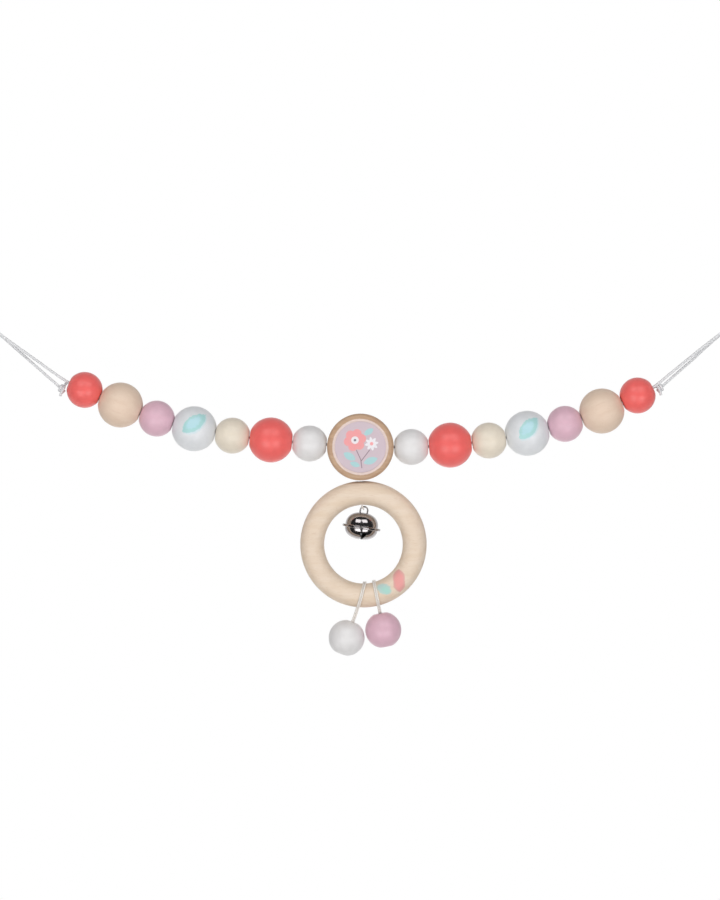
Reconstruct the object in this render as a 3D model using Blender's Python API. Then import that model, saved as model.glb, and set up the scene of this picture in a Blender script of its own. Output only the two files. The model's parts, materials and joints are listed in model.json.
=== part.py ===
"""Pram chain toy: wooden beads on a doubled elastic, with a turned medallion, a wooden ring,
a jingle bell and two bead pendants.

The toy hangs in the XZ plane between two elastic loops, and its printed faces look along -Y.
It is laid out about the middle of the medallion, and then moved so that the world's origin is
the tip of the left loop, which is one of the two places that hold the toy up.
"""
import math

import bmesh
import bpy
import numpy as np
from mathutils import Matrix, Vector

# Clearances shared by the whole toy
seat_gap = 0.0003
strand_gap = 0.0002
flex_gap = 0.0004
cut_overrun = 0.002
weld_distance = 0.000001

# Elastic and hanging cord
elastic_diameter = 0.0011
cord_diameter = 0.0009
elastic_joint_depth = 0.0015
elastic_point_spacing = 0.0026
threaded_point_spacing = 0.0088
cord_point_spacing = 0.0024
cord_straight_spacing = 0.0062

# Turned beads
small_bead_diameter = 0.020
small_mouth_diameter = 0.0060
large_bead_diameter = 0.025
large_mouth_diameter = 0.0073
bead_bore_diameter = 0.0036
bead_mouth_fillet = 0.003
left_bead_gap = 0.00045
right_bead_gap = 0.00055
bead_segments = 16
bead_arc_steps = 6

# Turned medallion
medallion_diameter = 0.0370
medallion_thickness = 0.013
medallion_rim_width = 0.0031
medallion_edge_share = 0.7
medallion_bore_diameter = 0.0066
print_thickness = 0.0004
print_side_gap = 0.0003
recess_depth = 0.0009
recess_bevel_width = 0.0010
medallion_segments = 44
chain_entry_rise_left = 0.0011
medallion_gap = 0.0004

# Wooden ring and the cord that carries it
ring_outer_diameter = 0.0702
ring_tube_diameter = 0.0133
ring_hole_diameter = 0.0032
ring_drop_gap = 0.0004
ring_lean_degrees = 2.75
ring_segments = 48
ring_tube_segments = 16

# Jingle bell
bell_diameter = 0.0183
bell_upper_height = 0.0083
bell_lower_height = 0.0068
bell_wall = 0.0004
bell_crimp_gap = 0.00012
bell_flange_diameter = 0.0213
bell_crimp_lip = 0.0010
bell_roundness = 2.3
bell_slot_width = 0.0017
bell_slot_reach = 0.0079
bell_slot_end_diameter = 0.0034
bell_slot_depth = 0.0038
bell_slot_turn_degrees = 11.0
bell_segments = 28
bell_arc_steps = 7
bail_wire_diameter = 0.0009
bail_arch_radius = 0.00203
bail_leg_rise = 0.0012
bail_contact_degrees = 33.0
bail_gap = 0.0005
bail_hole_gap = 0.00015
bail_foot_length = 0.0013
bail_point_count = 9
bell_balance_height = 0.0005
bell_loop_gap = 0.0004
bell_loop_slant_degrees = 25.0
bell_loop_swell_share = 0.93
bell_loop_swell_height_share = 0.55
clapper_diameter = 0.0055
clapper_rings = 8

# Pendants: how far round the ring each loop lies, where its bead hangs, and how far down
white_loop_offset = -0.0005
white_lean_degrees = -20.6
white_drop = 0.0251
pink_loop_offset = 0.0072
pink_lean_degrees = 11.0
pink_drop = 0.0204
pendant_knot_recess_diameter = 0.0058
pendant_knot_recess_depth = 0.0034
pendant_spread = 0.0008
pendant_arc_steps = 9
pendant_fold_steps = 4

# Knots
wrap_gap = 0.00015
wrap_turns = 2.0
wrap_points_per_turn = 9
overhand_half_width = 0.0021
overhand_half_height = 0.0010
overhand_points = 30

# Bead colours and the angle of each bead's bore above the level, from the medallion outwards
coral = "#e86a66"
beech = "#e3cbb0"
pink = "#d9b0c6"
lilac_white = "#d9d6dd"
cream = "#e6dcc8"
pale_grey = "#dfe0e2"
small_size = (small_bead_diameter, small_mouth_diameter)
large_size = (large_bead_diameter, large_mouth_diameter)
left_chain = (
    ("left_white_bead", small_size, pale_grey, 5.0),
    ("left_coral_bead", large_size, coral, 5.5),
    ("left_cream_bead", small_size, cream, 7.5),
    ("left_leaf_bead", large_size, lilac_white, 12.5),
    ("left_pink_bead", small_size, pink, 18.5),
    ("left_natural_bead", large_size, beech, 22.0),
    ("left_end_bead", small_size, coral, 24.0),
)
right_chain = (
    ("right_white_bead", small_size, pale_grey, 0.0),
    ("right_coral_bead", large_size, coral, 5.0),
    ("right_cream_bead", small_size, cream, 9.0),
    ("right_leaf_bead", large_size, lilac_white, 12.0),
    ("right_pink_bead", small_size, pink, 16.5),
    ("right_natural_bead", large_size, beech, 21.5),
    ("right_end_bead", small_size, coral, 26.0),
)

# Elastic outside the end beads, from the bead's mouth: outwards, upwards and to the back
left_loop_route = (
    (0.0038, 0.0024, -0.0007),
    (0.0074, 0.0049, -0.0008),
    (0.0110, 0.0074, -0.0009),
    (0.0172, 0.0119, -0.0011),
    (0.0242, 0.0169, -0.0015),
    (0.0312, 0.0219, -0.0019),
    (0.0379, 0.0269, -0.0022),
    (0.0430, 0.0308, -0.0022),
    (0.0460, 0.0331, 0.0),
    (0.0430, 0.0306, 0.0022),
    (0.0379, 0.0262, 0.0022),
    (0.0312, 0.0203, 0.0019),
    (0.0242, 0.0142, 0.0015),
    (0.0172, 0.0081, 0.0011),
    (0.0110, 0.0027, 0.0007),
    (0.0072, -0.0006, 0.0003),
    (0.0052, -0.0024, 0.0),
    (0.0026, -0.0048, 0.0),
)
right_loop_route = (
    (0.0024, 0.0020, -0.0007),
    (0.0056, 0.0046, -0.0008),
    (0.0100, 0.0083, -0.0009),
    (0.0160, 0.0132, -0.0011),
    (0.0225, 0.0185, -0.0015),
    (0.0290, 0.0237, -0.0019),
    (0.0373, 0.0300, -0.0022),
    (0.0425, 0.0338, -0.0022),
    (0.0456, 0.0360, 0.0),
    (0.0425, 0.0335, 0.0022),
    (0.0373, 0.0293, 0.0022),
    (0.0290, 0.0220, 0.0019),
    (0.0225, 0.0160, 0.0015),
    (0.0160, 0.0103, 0.0011),
    (0.0100, 0.0051, 0.0007),
    (0.0066, 0.0021, 0.0003),
    (0.0050, 0.0007, 0.0),
    (0.0026, -0.0014, 0.0),
)

# Short strand from the mouth to the knot, and the knot's cut tail, in the same axes
left_tie_route = ((0.0010, 0.0004, 0.0008), (0.0020, -0.0004, 0.0012), (0.0026, -0.0016, 0.0014))
right_tie_route = ((0.0008, 0.0005, 0.0009), (0.0016, 0.0008, 0.0012), (0.0022, 0.0006, 0.0014))
left_tail_route = ((0.0046, -0.0060, -0.0008), (0.0049, -0.0074, -0.0004))
right_tail_route = ((0.0042, -0.0026, -0.0010), (0.0046, -0.0042, -0.0006))
left_knot_place = (0.0042, -0.0033, 0.0)
right_knot_place = (0.0041, 0.0000, 0.0)


def linear(code):
    """An sRGB hex colour as the linear red, green, blue and alpha that a shader takes."""
    parts = [int(code[i:i + 2], 16) / 255 for i in (1, 3, 5)]
    return [c / 12.92 if c <= 0.04045 else ((c + 0.055) / 1.055) ** 2.4 for c in parts] + [1.0]


def finish(name, colour, roughness, metallic=0.0):
    """A Principled material for one piece."""
    made = bpy.data.materials.new(name)
    made.use_nodes = True
    shader = made.node_tree.nodes["Principled BSDF"]
    shader.inputs["Base Color"].default_value = linear(colour)
    shader.inputs["Roughness"].default_value = roughness
    shader.inputs["Metallic"].default_value = metallic
    return made


def place(thing, parent, location=(0, 0, 0), rotation=(0, 0, 0)):
    """Link an object into the scene, under a parent and in its axes."""
    bpy.context.scene.collection.objects.link(thing)
    thing.parent = parent
    thing.location = location
    thing.rotation_euler = rotation
    return thing


def pivot(name, parent, location=(0, 0, 0), rotation=(0, 0, 0)):
    """An empty that stands where a piece turns or hangs."""
    return place(bpy.data.objects.new(name, None), parent, location, rotation)


def solid(name, mesh, material, sharp_degrees=40):
    """An object from a finished bmesh, smooth except where its faces meet at a sharp angle."""
    data = bpy.data.meshes.new(name)
    mesh.to_mesh(data)
    mesh.free()
    data.shade_smooth()
    data.set_sharp_from_angle(angle=math.radians(sharp_degrees))
    if material is not None:
        data.materials.append(material)
    return bpy.data.objects.new(name, data)


def spun(profile, steps, closed):
    """A bmesh turned about Z from (radius, height) points.

    A closed profile is a loop clear of the axis, and an open one starts and ends on it.
    """
    mesh = bmesh.new()
    corners = [mesh.verts.new((radius, 0, height)) for radius, height in profile]
    pairs = list(zip(corners, corners[1:]))
    if closed:
        pairs.append((corners[-1], corners[0]))
    edges = [mesh.edges.new(pair) for pair in pairs]
    bmesh.ops.spin(mesh, geom=corners + edges, cent=(0, 0, 0), axis=(0, 0, 1),
                   angle=2 * math.pi, steps=steps, use_merge=True)
    bmesh.ops.remove_doubles(mesh, verts=mesh.verts[:], dist=weld_distance)
    bmesh.ops.recalc_face_normals(mesh, faces=mesh.faces[:])
    return mesh


def drill(target, name, diameter, length, location, rotation, steps=16):
    """Cut a round hole into a piece with a hidden cylinder along the cutter's own Z."""
    radius = diameter / 2
    half = length / 2
    mesh = spun([(0, -half), (radius, -half), (radius, half), (0, half)], steps, closed=False)
    cutter = place(solid(name, mesh, None), target.parent, location, rotation)
    cut(target, cutter)
    return cutter


def cut(target, cutter):
    """Take a hidden cutter away from a piece."""
    cutter.hide_render = True
    cutter.display_type = "WIRE"
    modifier = target.modifiers.new(cutter.name, "BOOLEAN")
    modifier.operation = "DIFFERENCE"
    modifier.solver = "EXACT"
    modifier.object = cutter


def smooth_route(points, spacing, straight=None):
    """Points at an even spacing along a smooth curve through the given points.

    The curve is a centripetal Catmull-Rom spline. A straight spacing, where it is given, is
    the longest step allowed where the route hardly bends.
    """
    route = np.array(points, float)
    route = np.vstack([2 * route[0] - route[1], route, 2 * route[-1] - route[-2]])
    fine = []
    for p0, p1, p2, p3 in zip(route, route[1:], route[2:], route[3:]):
        t1 = math.sqrt(np.linalg.norm(p1 - p0))
        t2 = t1 + math.sqrt(np.linalg.norm(p2 - p1))
        t3 = t2 + math.sqrt(np.linalg.norm(p3 - p2))
        t = np.linspace(t1, t2, 16, endpoint=False)[:, None]
        a1 = (t1 - t) / t1 * p0 + t / t1 * p1
        a2 = (t2 - t) / (t2 - t1) * p1 + (t - t1) / (t2 - t1) * p2
        a3 = (t3 - t) / (t3 - t2) * p2 + (t - t2) / (t3 - t2) * p3
        b1 = (t2 - t) / t2 * a1 + t / t2 * a2
        b2 = (t3 - t) / (t3 - t1) * a2 + (t - t1) / (t3 - t1) * a3
        fine.append((t2 - t) / (t2 - t1) * b1 + (t - t1) / (t2 - t1) * b2)
    fine = np.vstack(fine + [route[-2:-1]])
    walked = np.concatenate([[0], np.cumsum(np.linalg.norm(np.diff(fine, axis=0), axis=1))])
    count = max(2, round(walked[-1] / spacing) + 1)
    wanted = np.linspace(0, walked[-1], count)
    found = np.column_stack([np.interp(wanted, walked, fine[:, k]) for k in range(3)])
    if straight is None:
        return found
    return thinned(found, straight)


def thinned(points, longest):
    """The points without those on runs that hardly bend, with no step over the longest."""
    kept = [points[0]]
    for before, here, after in zip(points, points[1:], points[2:]):
        bend = Vector(here - before).angle(Vector(after - here))
        reach = np.linalg.norm(after - kept[-1])
        if bend > math.radians(4) or reach > longest:
            kept.append(here)
    kept.append(points[-1])
    return np.array(kept)


def tube(name, strand, diameter, material, parent):
    """A cord or wire as a curve object with a round bevel and one open spline."""
    curve = bpy.data.curves.new(name, "CURVE")
    curve.dimensions = "3D"
    curve.bevel_depth = diameter / 2
    curve.bevel_resolution = 2
    curve.use_fill_caps = True
    spline = curve.splines.new("POLY")
    spline.points.add(len(strand) - 1)
    spline.points.foreach_set("co", np.column_stack([strand, np.ones(len(strand))]).ravel())
    spline.use_smooth = True
    curve.materials.append(material)
    return place(bpy.data.objects.new(name, curve), parent)


def bead_length(diameter, flat_diameter):
    """A bead's length between its flat mouths, each eased into the ball by the fillet."""
    reach = diameter / 2 - bead_mouth_fillet
    return 2 * (math.sqrt(reach ** 2 - (flat_diameter / 2) ** 2) + bead_mouth_fillet)


def bead_profile(diameter, flat_diameter, arc_steps):
    """Half section of a turned bead: a ball with flat mouths, a fillet at each and a bore."""
    radius = diameter / 2
    half = bead_length(diameter, flat_diameter) / 2
    fillet_height = half - bead_mouth_fillet
    fillet_radius = flat_diameter / 2
    start = math.atan2(fillet_height, fillet_radius)
    bore = bead_bore_diameter / 2
    arc = [start * (1 - 2 * i / arc_steps) for i in range(arc_steps + 1)]
    outside = [(radius * math.cos(a), radius * math.sin(a)) for a in arc]
    return [(bore, -half), (bore, half), (fillet_radius, half)] + outside + [(fillet_radius, -half)]


def walk_chain(chain, side, start_rise, gap):
    """Where each bead of one side lies: its centre and the way that its bore points outwards.

    The beads follow each other mouth to mouth, from the medallion's edge, each with its own
    bore angle. The last point is the outer mouth of the end bead.
    """
    start = medallion_diameter / 2 + medallion_gap - gap / 2
    mouth = Vector((side * start, 0, start_rise))
    found = []
    for name, (diameter, flat_diameter), colour, degrees in chain:
        length = bead_length(diameter, flat_diameter)
        angle = math.radians(degrees)
        outwards = Vector((side * math.cos(angle), 0, math.sin(angle)))
        centre = mouth + outwards * (gap / 2 + length / 2)
        found.append((name, diameter, flat_diameter, colour, centre, outwards))
        mouth = centre + outwards * (length / 2 + gap / 2)
    return found, mouth - outwards * (gap / 2)


def build_beads(placed, parent):
    """One side's chain beads, each with its local Z along its bore."""
    for name, diameter, flat_diameter, colour, centre, outwards in placed:
        profile = bead_profile(diameter, flat_diameter, bead_arc_steps)
        mesh = spun(profile, bead_segments, closed=True)
        bead = solid(name, mesh, finish(name, colour, 0.45))
        turn = math.atan2(outwards.x, outwards.z)
        place(bead, parent, centre, (0, turn, 0))


def outside_point(mouth, side, offset):
    """A point of the outer elastic, from an (outwards, upwards, backwards) offset."""
    out, rise, back = offset
    return Vector((mouth.x + side * out, back, mouth.z + rise))


def wrap_knot(centre, along, core_diameter, side):
    """The turns of a knot round a strand: a helix on a cylinder that clears the strand."""
    radius = core_diameter / 2 + wrap_gap + elastic_diameter / 2
    pitch = elastic_diameter + wrap_gap
    back = Vector((0, 1, 0))
    across = along.cross(back) * side
    count = int(wrap_turns * wrap_points_per_turn)
    points = []
    for i in range(count + 1):
        turn = i / wrap_points_per_turn
        angle = 2 * math.pi * turn
        round_it = back * math.cos(angle) + across * math.sin(angle)
        points.append(centre + along * (pitch * (wrap_turns / 2 - turn)) + round_it * radius)
    return points


def least_gap(points, diameter, skipped):
    """The least clearance between stretches of a tube that lie apart along it."""
    points = np.array(points)
    apart = np.linalg.norm(points[:, None] - points[None], axis=2)
    rows, columns = np.indices(apart.shape)
    return float(apart[np.abs(rows - columns) > skipped].min() - diameter)


def build_elastic(left, right, left_mouth, right_mouth, parent):
    """The doubled elastic: both strands through the beads, the end loops and their knots."""
    material = finish("elastic", "#e9eaec", 0.7)
    offset = Vector((0, elastic_diameter / 2 + strand_gap / 2, 0))
    left_out, right_out = left[-1][5], right[-1][5]
    left_end = left_mouth - left_out * elastic_joint_depth
    right_end = right_mouth - right_out * elastic_joint_depth
    inner = [bead[4] for bead in reversed(left)]
    inner.append(Vector((0, 0, chain_entry_rise_left / 2)))
    inner += [bead[4] for bead in right]
    front = [p - offset for p in (left_end, *inner, right_end)]
    left_tie = [outside_point(left_mouth, -1, p) for p in reversed(left_tie_route)]
    right_tie = [outside_point(right_mouth, 1, p) for p in right_tie_route]
    back = [*left_tie, *(p + offset for p in (left_end, *inner, right_end)), *right_tie]
    tube("main_elastic_front", smooth_route(front, threaded_point_spacing),
         elastic_diameter, material, parent)
    tube("main_elastic_back", smooth_route(back, elastic_point_spacing, threaded_point_spacing),
         elastic_diameter, material, parent)
    ends = (
        ("left", -1, left_mouth, left_out, left_loop_route, left_tie_route, left_tail_route,
         left_knot_place),
        ("right", 1, right_mouth, right_out, right_loop_route, right_tie_route,
         right_tail_route, right_knot_place),
    )
    for name, side, mouth, out, loop, tie, tail, knot in ends:
        start = mouth - out * (elastic_joint_depth - seat_gap) - offset
        route = [start] + [outside_point(mouth, side, p) for p in loop]
        strand = smooth_route(route, elastic_point_spacing)
        tube(f"{name}_loop_elastic", strand, elastic_diameter, material, parent)
        along = (route[-2] - route[-1]).normalized()
        centre = outside_point(mouth, side, knot)
        turns = wrap_knot(centre, along, elastic_diameter, side)
        knot_route = [*turns, *(outside_point(mouth, side, p) for p in tail)]
        print(f"{name}_knot least gap to itself in mm",
              round(least_gap(turns, elastic_diameter, 5) * 1000, 2))
        tube(f"{name}_knot", np.array(knot_route), elastic_diameter, material, parent)


def medallion_profile():
    """Half section of the medallion: recessed front at +Z, rounded rim and a plain back."""
    radius = medallion_diameter / 2
    half = medallion_thickness / 2
    fillet = medallion_rim_width * medallion_edge_share
    bevel_radius = radius - medallion_rim_width
    floor_radius = bevel_radius - recess_bevel_width
    corner = [math.radians(22.5 * i) for i in range(5)]
    front_edge = [(radius - fillet + fillet * math.sin(a), half - fillet + fillet * math.cos(a))
                  for a in corner]
    back_edge = [(r, -z) for r, z in reversed(front_edge)]
    recess = [(0, half - recess_depth), (floor_radius, half - recess_depth),
              (bevel_radius, half)]
    return recess + front_edge + back_edge + [(0, -half)]


def build_medallion(parent):
    """The turned wooden disc with its printed face, the cross bore and the hanger's hole."""
    facing_front = (math.pi / 2, 0, 0)
    body = solid("medallion_body", spun(medallion_profile(), medallion_segments, closed=False),
                 finish("medallion_wood", "#c4a078", 0.5))
    place(body, parent, rotation=facing_front)
    through = medallion_diameter + 2 * cut_overrun
    drill(body, "medallion_cross_bore", medallion_bore_diameter, through, (0, 0, 0),
          (0, math.pi / 2, 0))
    deep = medallion_diameter / 2 + cut_overrun
    drill(body, "medallion_hanger_hole", medallion_bore_diameter, deep, (0, 0, -deep / 2),
          (0, 0, 0))
    radius = (medallion_diameter / 2 - medallion_rim_width - recess_bevel_width
              - print_side_gap)
    low = medallion_thickness / 2 - recess_depth + seat_gap
    high = low + print_thickness
    disc = spun([(0, low), (radius, low), (radius, high), (0, high)], medallion_segments,
                closed=False)
    place(solid("medallion_print", disc, finish("print", "#d8cad4", 0.6)), parent,
          rotation=facing_front)


def leg_offset():
    """How far each leg of the hanger's loop runs in front of or behind its middle."""
    return cord_diameter / 2 + strand_gap / 2 + seat_gap / 2


def build_upper_hanger(parent, material):
    """The part of the hanger's loop inside the medallion, from the elastic to the lower mouth."""
    radius = elastic_diameter + strand_gap / 2 + seat_gap + cord_diameter / 2
    middle = chain_entry_rise_left / 2
    leg = leg_offset()
    bore = medallion_bore_diameter / 2
    foot = -medallion_diameter / 2 - ring_drop_gap / 2 + flex_gap / 2
    crown = [(radius * math.cos(a), middle + radius * math.sin(a))
             for a in (math.radians(30 * i - 30) for i in range(5))]
    half = [(leg, foot), (leg, foot / 2), (leg, -2 * bore)] + crown[:-1]
    points = [(0, -y, z) for y, z in half] + [(0, 0, middle + radius)]
    points += [(0, y, z) for y, z in reversed(half)]
    strand = smooth_route(points, cord_point_spacing / 3, cord_straight_spacing)
    tube("hanger_upper_cord", strand, cord_diameter, material, parent)


def build_ring(parent, material):
    """The turned ring with its radial hole, and the two legs of cord that run through it."""
    tube_radius = ring_tube_diameter / 2
    centre_radius = ring_outer_diameter / 2 - tube_radius
    turns = [2 * math.pi * i / ring_tube_segments for i in range(ring_tube_segments)]
    section = [(centre_radius + tube_radius * math.cos(a), tube_radius * math.sin(a))
               for a in turns]
    ring = solid("wooden_ring", spun(section, ring_segments, closed=True),
                 finish("ring_wood", "#e6d6c0", 0.5))
    top = -ring_drop_gap / 2
    centre = (0, 0, top - ring_outer_diameter / 2)
    place(ring, parent, centre, (math.pi / 2, 0, 0))
    deep = ring_tube_diameter + 2 * cut_overrun
    drill(ring, "ring_cord_hole", ring_hole_diameter, deep, (0, 0, top - tube_radius),
          (0, 0, 0))
    bottom = top - ring_tube_diameter
    leg = leg_offset()
    for name, y in (("hanger_front_leg", -leg), ("hanger_back_leg", leg)):
        strand = np.linspace((0, y, -flex_gap / 2), (0, y, bottom + flex_gap / 2), 4)
        tube(name, strand, cord_diameter, material, parent)
    return centre, bottom


def dome(radius, height, steps):
    """A flattened quarter outline from the crown on the axis to the rim, as a superellipse."""
    power = 2 / bell_roundness
    angles = [math.pi / 2 * (1 - i / steps) for i in range(steps + 1)]
    return [(radius * max(math.cos(a), 0) ** power, height * max(math.sin(a), 0) ** power)
            for a in angles]


def dome_height(at_radius, radius, height):
    """How high the dome's outline stands at a distance from its axis."""
    share = (at_radius / radius) ** bell_roundness
    return height * (1 - share) ** (1 / bell_roundness)


def on_axis(outline):
    """The outline with its first point exactly on the axis."""
    return [(0, outline[0][1])] + outline[1:]


def build_bell_shells(parent, material):
    """The two spun shells: the upper one's edge is rolled round the lower one's brim."""
    radius = bell_diameter / 2
    inner = radius - bell_wall
    brim = bell_wall / 2
    roll = brim + bell_crimp_gap
    flange = bell_flange_diameter / 2
    lip = flange - bell_wall - bell_crimp_lip
    outside = [(r, z + roll + bell_wall) for r, z in
               dome(radius, bell_upper_height - roll - bell_wall, bell_arc_steps)]
    inside = [(r, z + roll) for r, z in
              dome(inner, bell_upper_height - roll - bell_wall, bell_arc_steps)]
    edge = [(flange, roll + bell_wall), (flange, -roll - bell_wall), (lip, -roll - bell_wall),
            (lip, -roll), (flange - bell_wall, -roll), (flange - bell_wall, roll)]
    upper = on_axis(outside) + edge + on_axis(inside)[::-1]
    top = solid("bell_top_shell", spun(upper, bell_segments, closed=False), material)
    place(top, parent)
    low_outside = [(r, -z - brim) for r, z in
                   dome(radius, bell_lower_height - brim, bell_arc_steps)]
    low_inside = [(r, -z + brim) for r, z in
                  dome(inner, bell_lower_height + brim - bell_wall, bell_arc_steps)]
    brim_edge = flange - bell_wall - bell_crimp_gap
    lower = (on_axis(low_outside) + [(brim_edge, -brim), (brim_edge, brim)]
             + on_axis(low_inside)[::-1])
    bottom = solid("bell_bottom_shell", spun(lower, bell_segments, closed=False), material)
    place(bottom, parent)
    cut_bell_slot(bottom, parent)
    for side in (-1, 1):
        drill(top, f"bail_hole_{side + 2}", bail_wire_diameter + 2 * bail_hole_gap,
              2 * cut_overrun, (side * bail_arch_radius, 0, bell_upper_height), (0, 0, 0), 10)


def cut_bell_slot(shell, parent):
    """The slit across the lower shell, front to back, with a round hole at each end."""
    depth = bell_slot_depth
    middle = -bell_lower_height + (depth - cut_overrun) / 2
    turn = math.radians(bell_slot_turn_degrees)
    mesh = bmesh.new()
    bmesh.ops.create_cube(mesh, size=1, matrix=Matrix.Diagonal(
        (bell_slot_width, 2 * bell_slot_reach, depth + cut_overrun, 1)))
    slit = place(solid("bell_slit", mesh, None), parent, (0, 0, middle), (0, 0, turn))
    cut(shell, slit)
    for side in (-1, 1):
        reach = side * bell_slot_reach
        drill(shell, f"bell_slit_end_{side + 2}", bell_slot_end_diameter, depth + cut_overrun,
              (-reach * math.sin(turn), reach * math.cos(turn), middle), (0, 0, 0), 14)


def build_bail(parent, material):
    """The wire arch on the bell's crown, with its feet bent outwards under the shell."""
    wire = bail_wire_diameter / 2
    arch = bail_arch_radius
    crown = bell_upper_height
    inner_radius = bell_diameter / 2 - bell_wall
    foot = arch + bail_foot_length
    foot_height = dome_height(foot, inner_radius, crown - bell_wall) - seat_gap - wire
    turn = wire
    angles = [math.pi * i / (bail_point_count - 1) for i in range(bail_point_count)]
    bow = [(-arch * math.cos(a), 0, crown + bail_leg_rise + arch * math.sin(a)) for a in angles]
    left = [(-foot, 0, foot_height), (-arch - turn, 0, foot_height),
            (-arch, 0, foot_height + turn)]
    right = [(-x, y, z) for x, y, z in reversed(left)]
    tube("bell_bail", np.array(left + bow + right), bail_wire_diameter, material, parent)


def build_bell(ring_pivot, ring_bottom, cord):
    """The bell under the ring's hole, on the last loop of the cord.

    The loop slants, and the bell tilts so that its balance point is straight below the hole.
    """
    contact = math.radians(bail_contact_degrees)
    slant = math.radians(bell_loop_slant_degrees)
    held_at = Vector((-bail_arch_radius * math.sin(contact), 0,
                      bell_upper_height + bail_leg_rise + bail_arch_radius * math.cos(contact)))
    arch_top = bail_arch_radius * (1 - math.cos(contact)) + bail_wire_diameter / 2
    drop = bail_gap + arch_top
    below = held_at.z - bell_balance_height
    tilt = (math.atan2(-held_at.x, below)
            + math.asin(drop * math.sin(slant) / math.hypot(held_at.x, below)))
    plumb = math.radians(ring_lean_degrees)
    loop_pivot = pivot("bell_loop_pivot", ring_pivot, (0, 0, ring_bottom), (0, plumb - slant, 0))
    bail_pivot = pivot("bail_pivot", loop_pivot, (0, 0, -drop))
    bell = pivot("bell_frame", bail_pivot, rotation=(0, tilt + slant, 0))
    seam = pivot("bell_seam", bell, -held_at)
    steel = finish("bell_nickel", "#8d8a86", 0.25, 1.0)
    build_bell_shells(seam, steel)
    build_bail(seam, finish("bail_wire", "#a9a7a4", 0.3, 1.0))
    ball = bmesh.new()
    bmesh.ops.create_uvsphere(ball, u_segments=2 * clapper_rings, v_segments=clapper_rings,
                              radius=clapper_diameter / 2)
    rest = -bell_lower_height + bell_wall + seat_gap + clapper_diameter / 2
    place(solid("bell_clapper", ball, finish("clapper_steel", "#77787a", 0.35, 1.0)), seam,
          (0, 0, rest))
    round_wire = bail_wire_diameter / 2 + bell_loop_gap + cord_diameter / 2
    leg = leg_offset()
    side = [(leg, -flex_gap / 2),
            (round_wire * bell_loop_swell_share, -drop * bell_loop_swell_height_share)]
    bend = [(round_wire * math.cos(a), -drop - round_wire * math.sin(a))
            for a in (0, math.pi / 4)]
    half = side + bend
    points = [(0, -y, z) for y, z in half] + [(0, 0, -drop - round_wire)]
    points += [(0, y, z) for y, z in reversed(half)]
    strand = smooth_route(points, cord_point_spacing / 3)
    tube("bell_loop_cord", strand, cord_diameter, cord, loop_pivot)


def overhand(height):
    """The centreline of a small overhand knot about a height, as an opened trefoil."""
    scale = overhand_half_width / 3
    opened = math.radians(30)
    turns = np.linspace(opened, 2 * math.pi - opened, overhand_points)
    return np.column_stack([scale * (np.sin(turns) + 2 * np.sin(2 * turns)),
                            scale * (np.cos(turns) - 2 * np.cos(2 * turns)),
                            height - overhand_half_height * np.sin(3 * turns)])


def sling_point(angle, across, clearance, lead):
    """Where a strand of a pendant passes round the ring's tube, in the pendant's own axes.

    The angle starts below the tube and turns to the back, across is the strand's distance
    from the pendant's middle, the clearance is kept from the ring's centreline, and lead is
    the angle between the ring's radius there and the pendant.
    """
    centre_radius = ring_outer_diameter / 2 - ring_tube_diameter / 2
    middle_x = centre_radius * math.sin(lead)
    middle_z = centre_radius * math.cos(lead)
    near, far = 0, 2 * clearance
    for _ in range(40):
        reach = (near + far) / 2
        y, z = reach * math.sin(angle), -reach * math.cos(angle)
        off_ring = math.hypot(across - middle_x, z - middle_z) - centre_radius
        if math.hypot(off_ring, y) < clearance:
            near = reach
        else:
            far = reach
    return across, y, z


def pendant_strand(side, mouth, foot, apart, lead):
    """One strand of a pendant: up through the bead, over the ring and down again."""
    across = side * pendant_spread
    clearance = ring_tube_diameter / 2 + seat_gap + cord_diameter / 2
    swept = [sling_point(math.radians(a), across, clearance, lead) for a in range(180)]
    angles = [math.atan2(y - apart, z - mouth) for _, y, z in swept]
    touch = math.radians(angles.index(max(angles)))
    turn = (2 * math.pi - 2 * touch) / pendant_arc_steps
    arc = [sling_point(touch + turn * i, across, clearance, lead)
           for i in range(pendant_arc_steps + 1)]
    in_bead = side * apart
    half_way = ((across + in_bead) / 2, (arc[0][1] + apart) / 2, (arc[0][2] + mouth) / 2)
    down = [half_way] + [(in_bead, apart, z) for z in (mouth, (foot + mouth) / 2, foot)]
    front = [(x, -y, z) for x, y, z in down]
    return smooth_route(front[::-1] + arc[::-1] + down, cord_point_spacing,
                        cord_straight_spacing)


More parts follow.
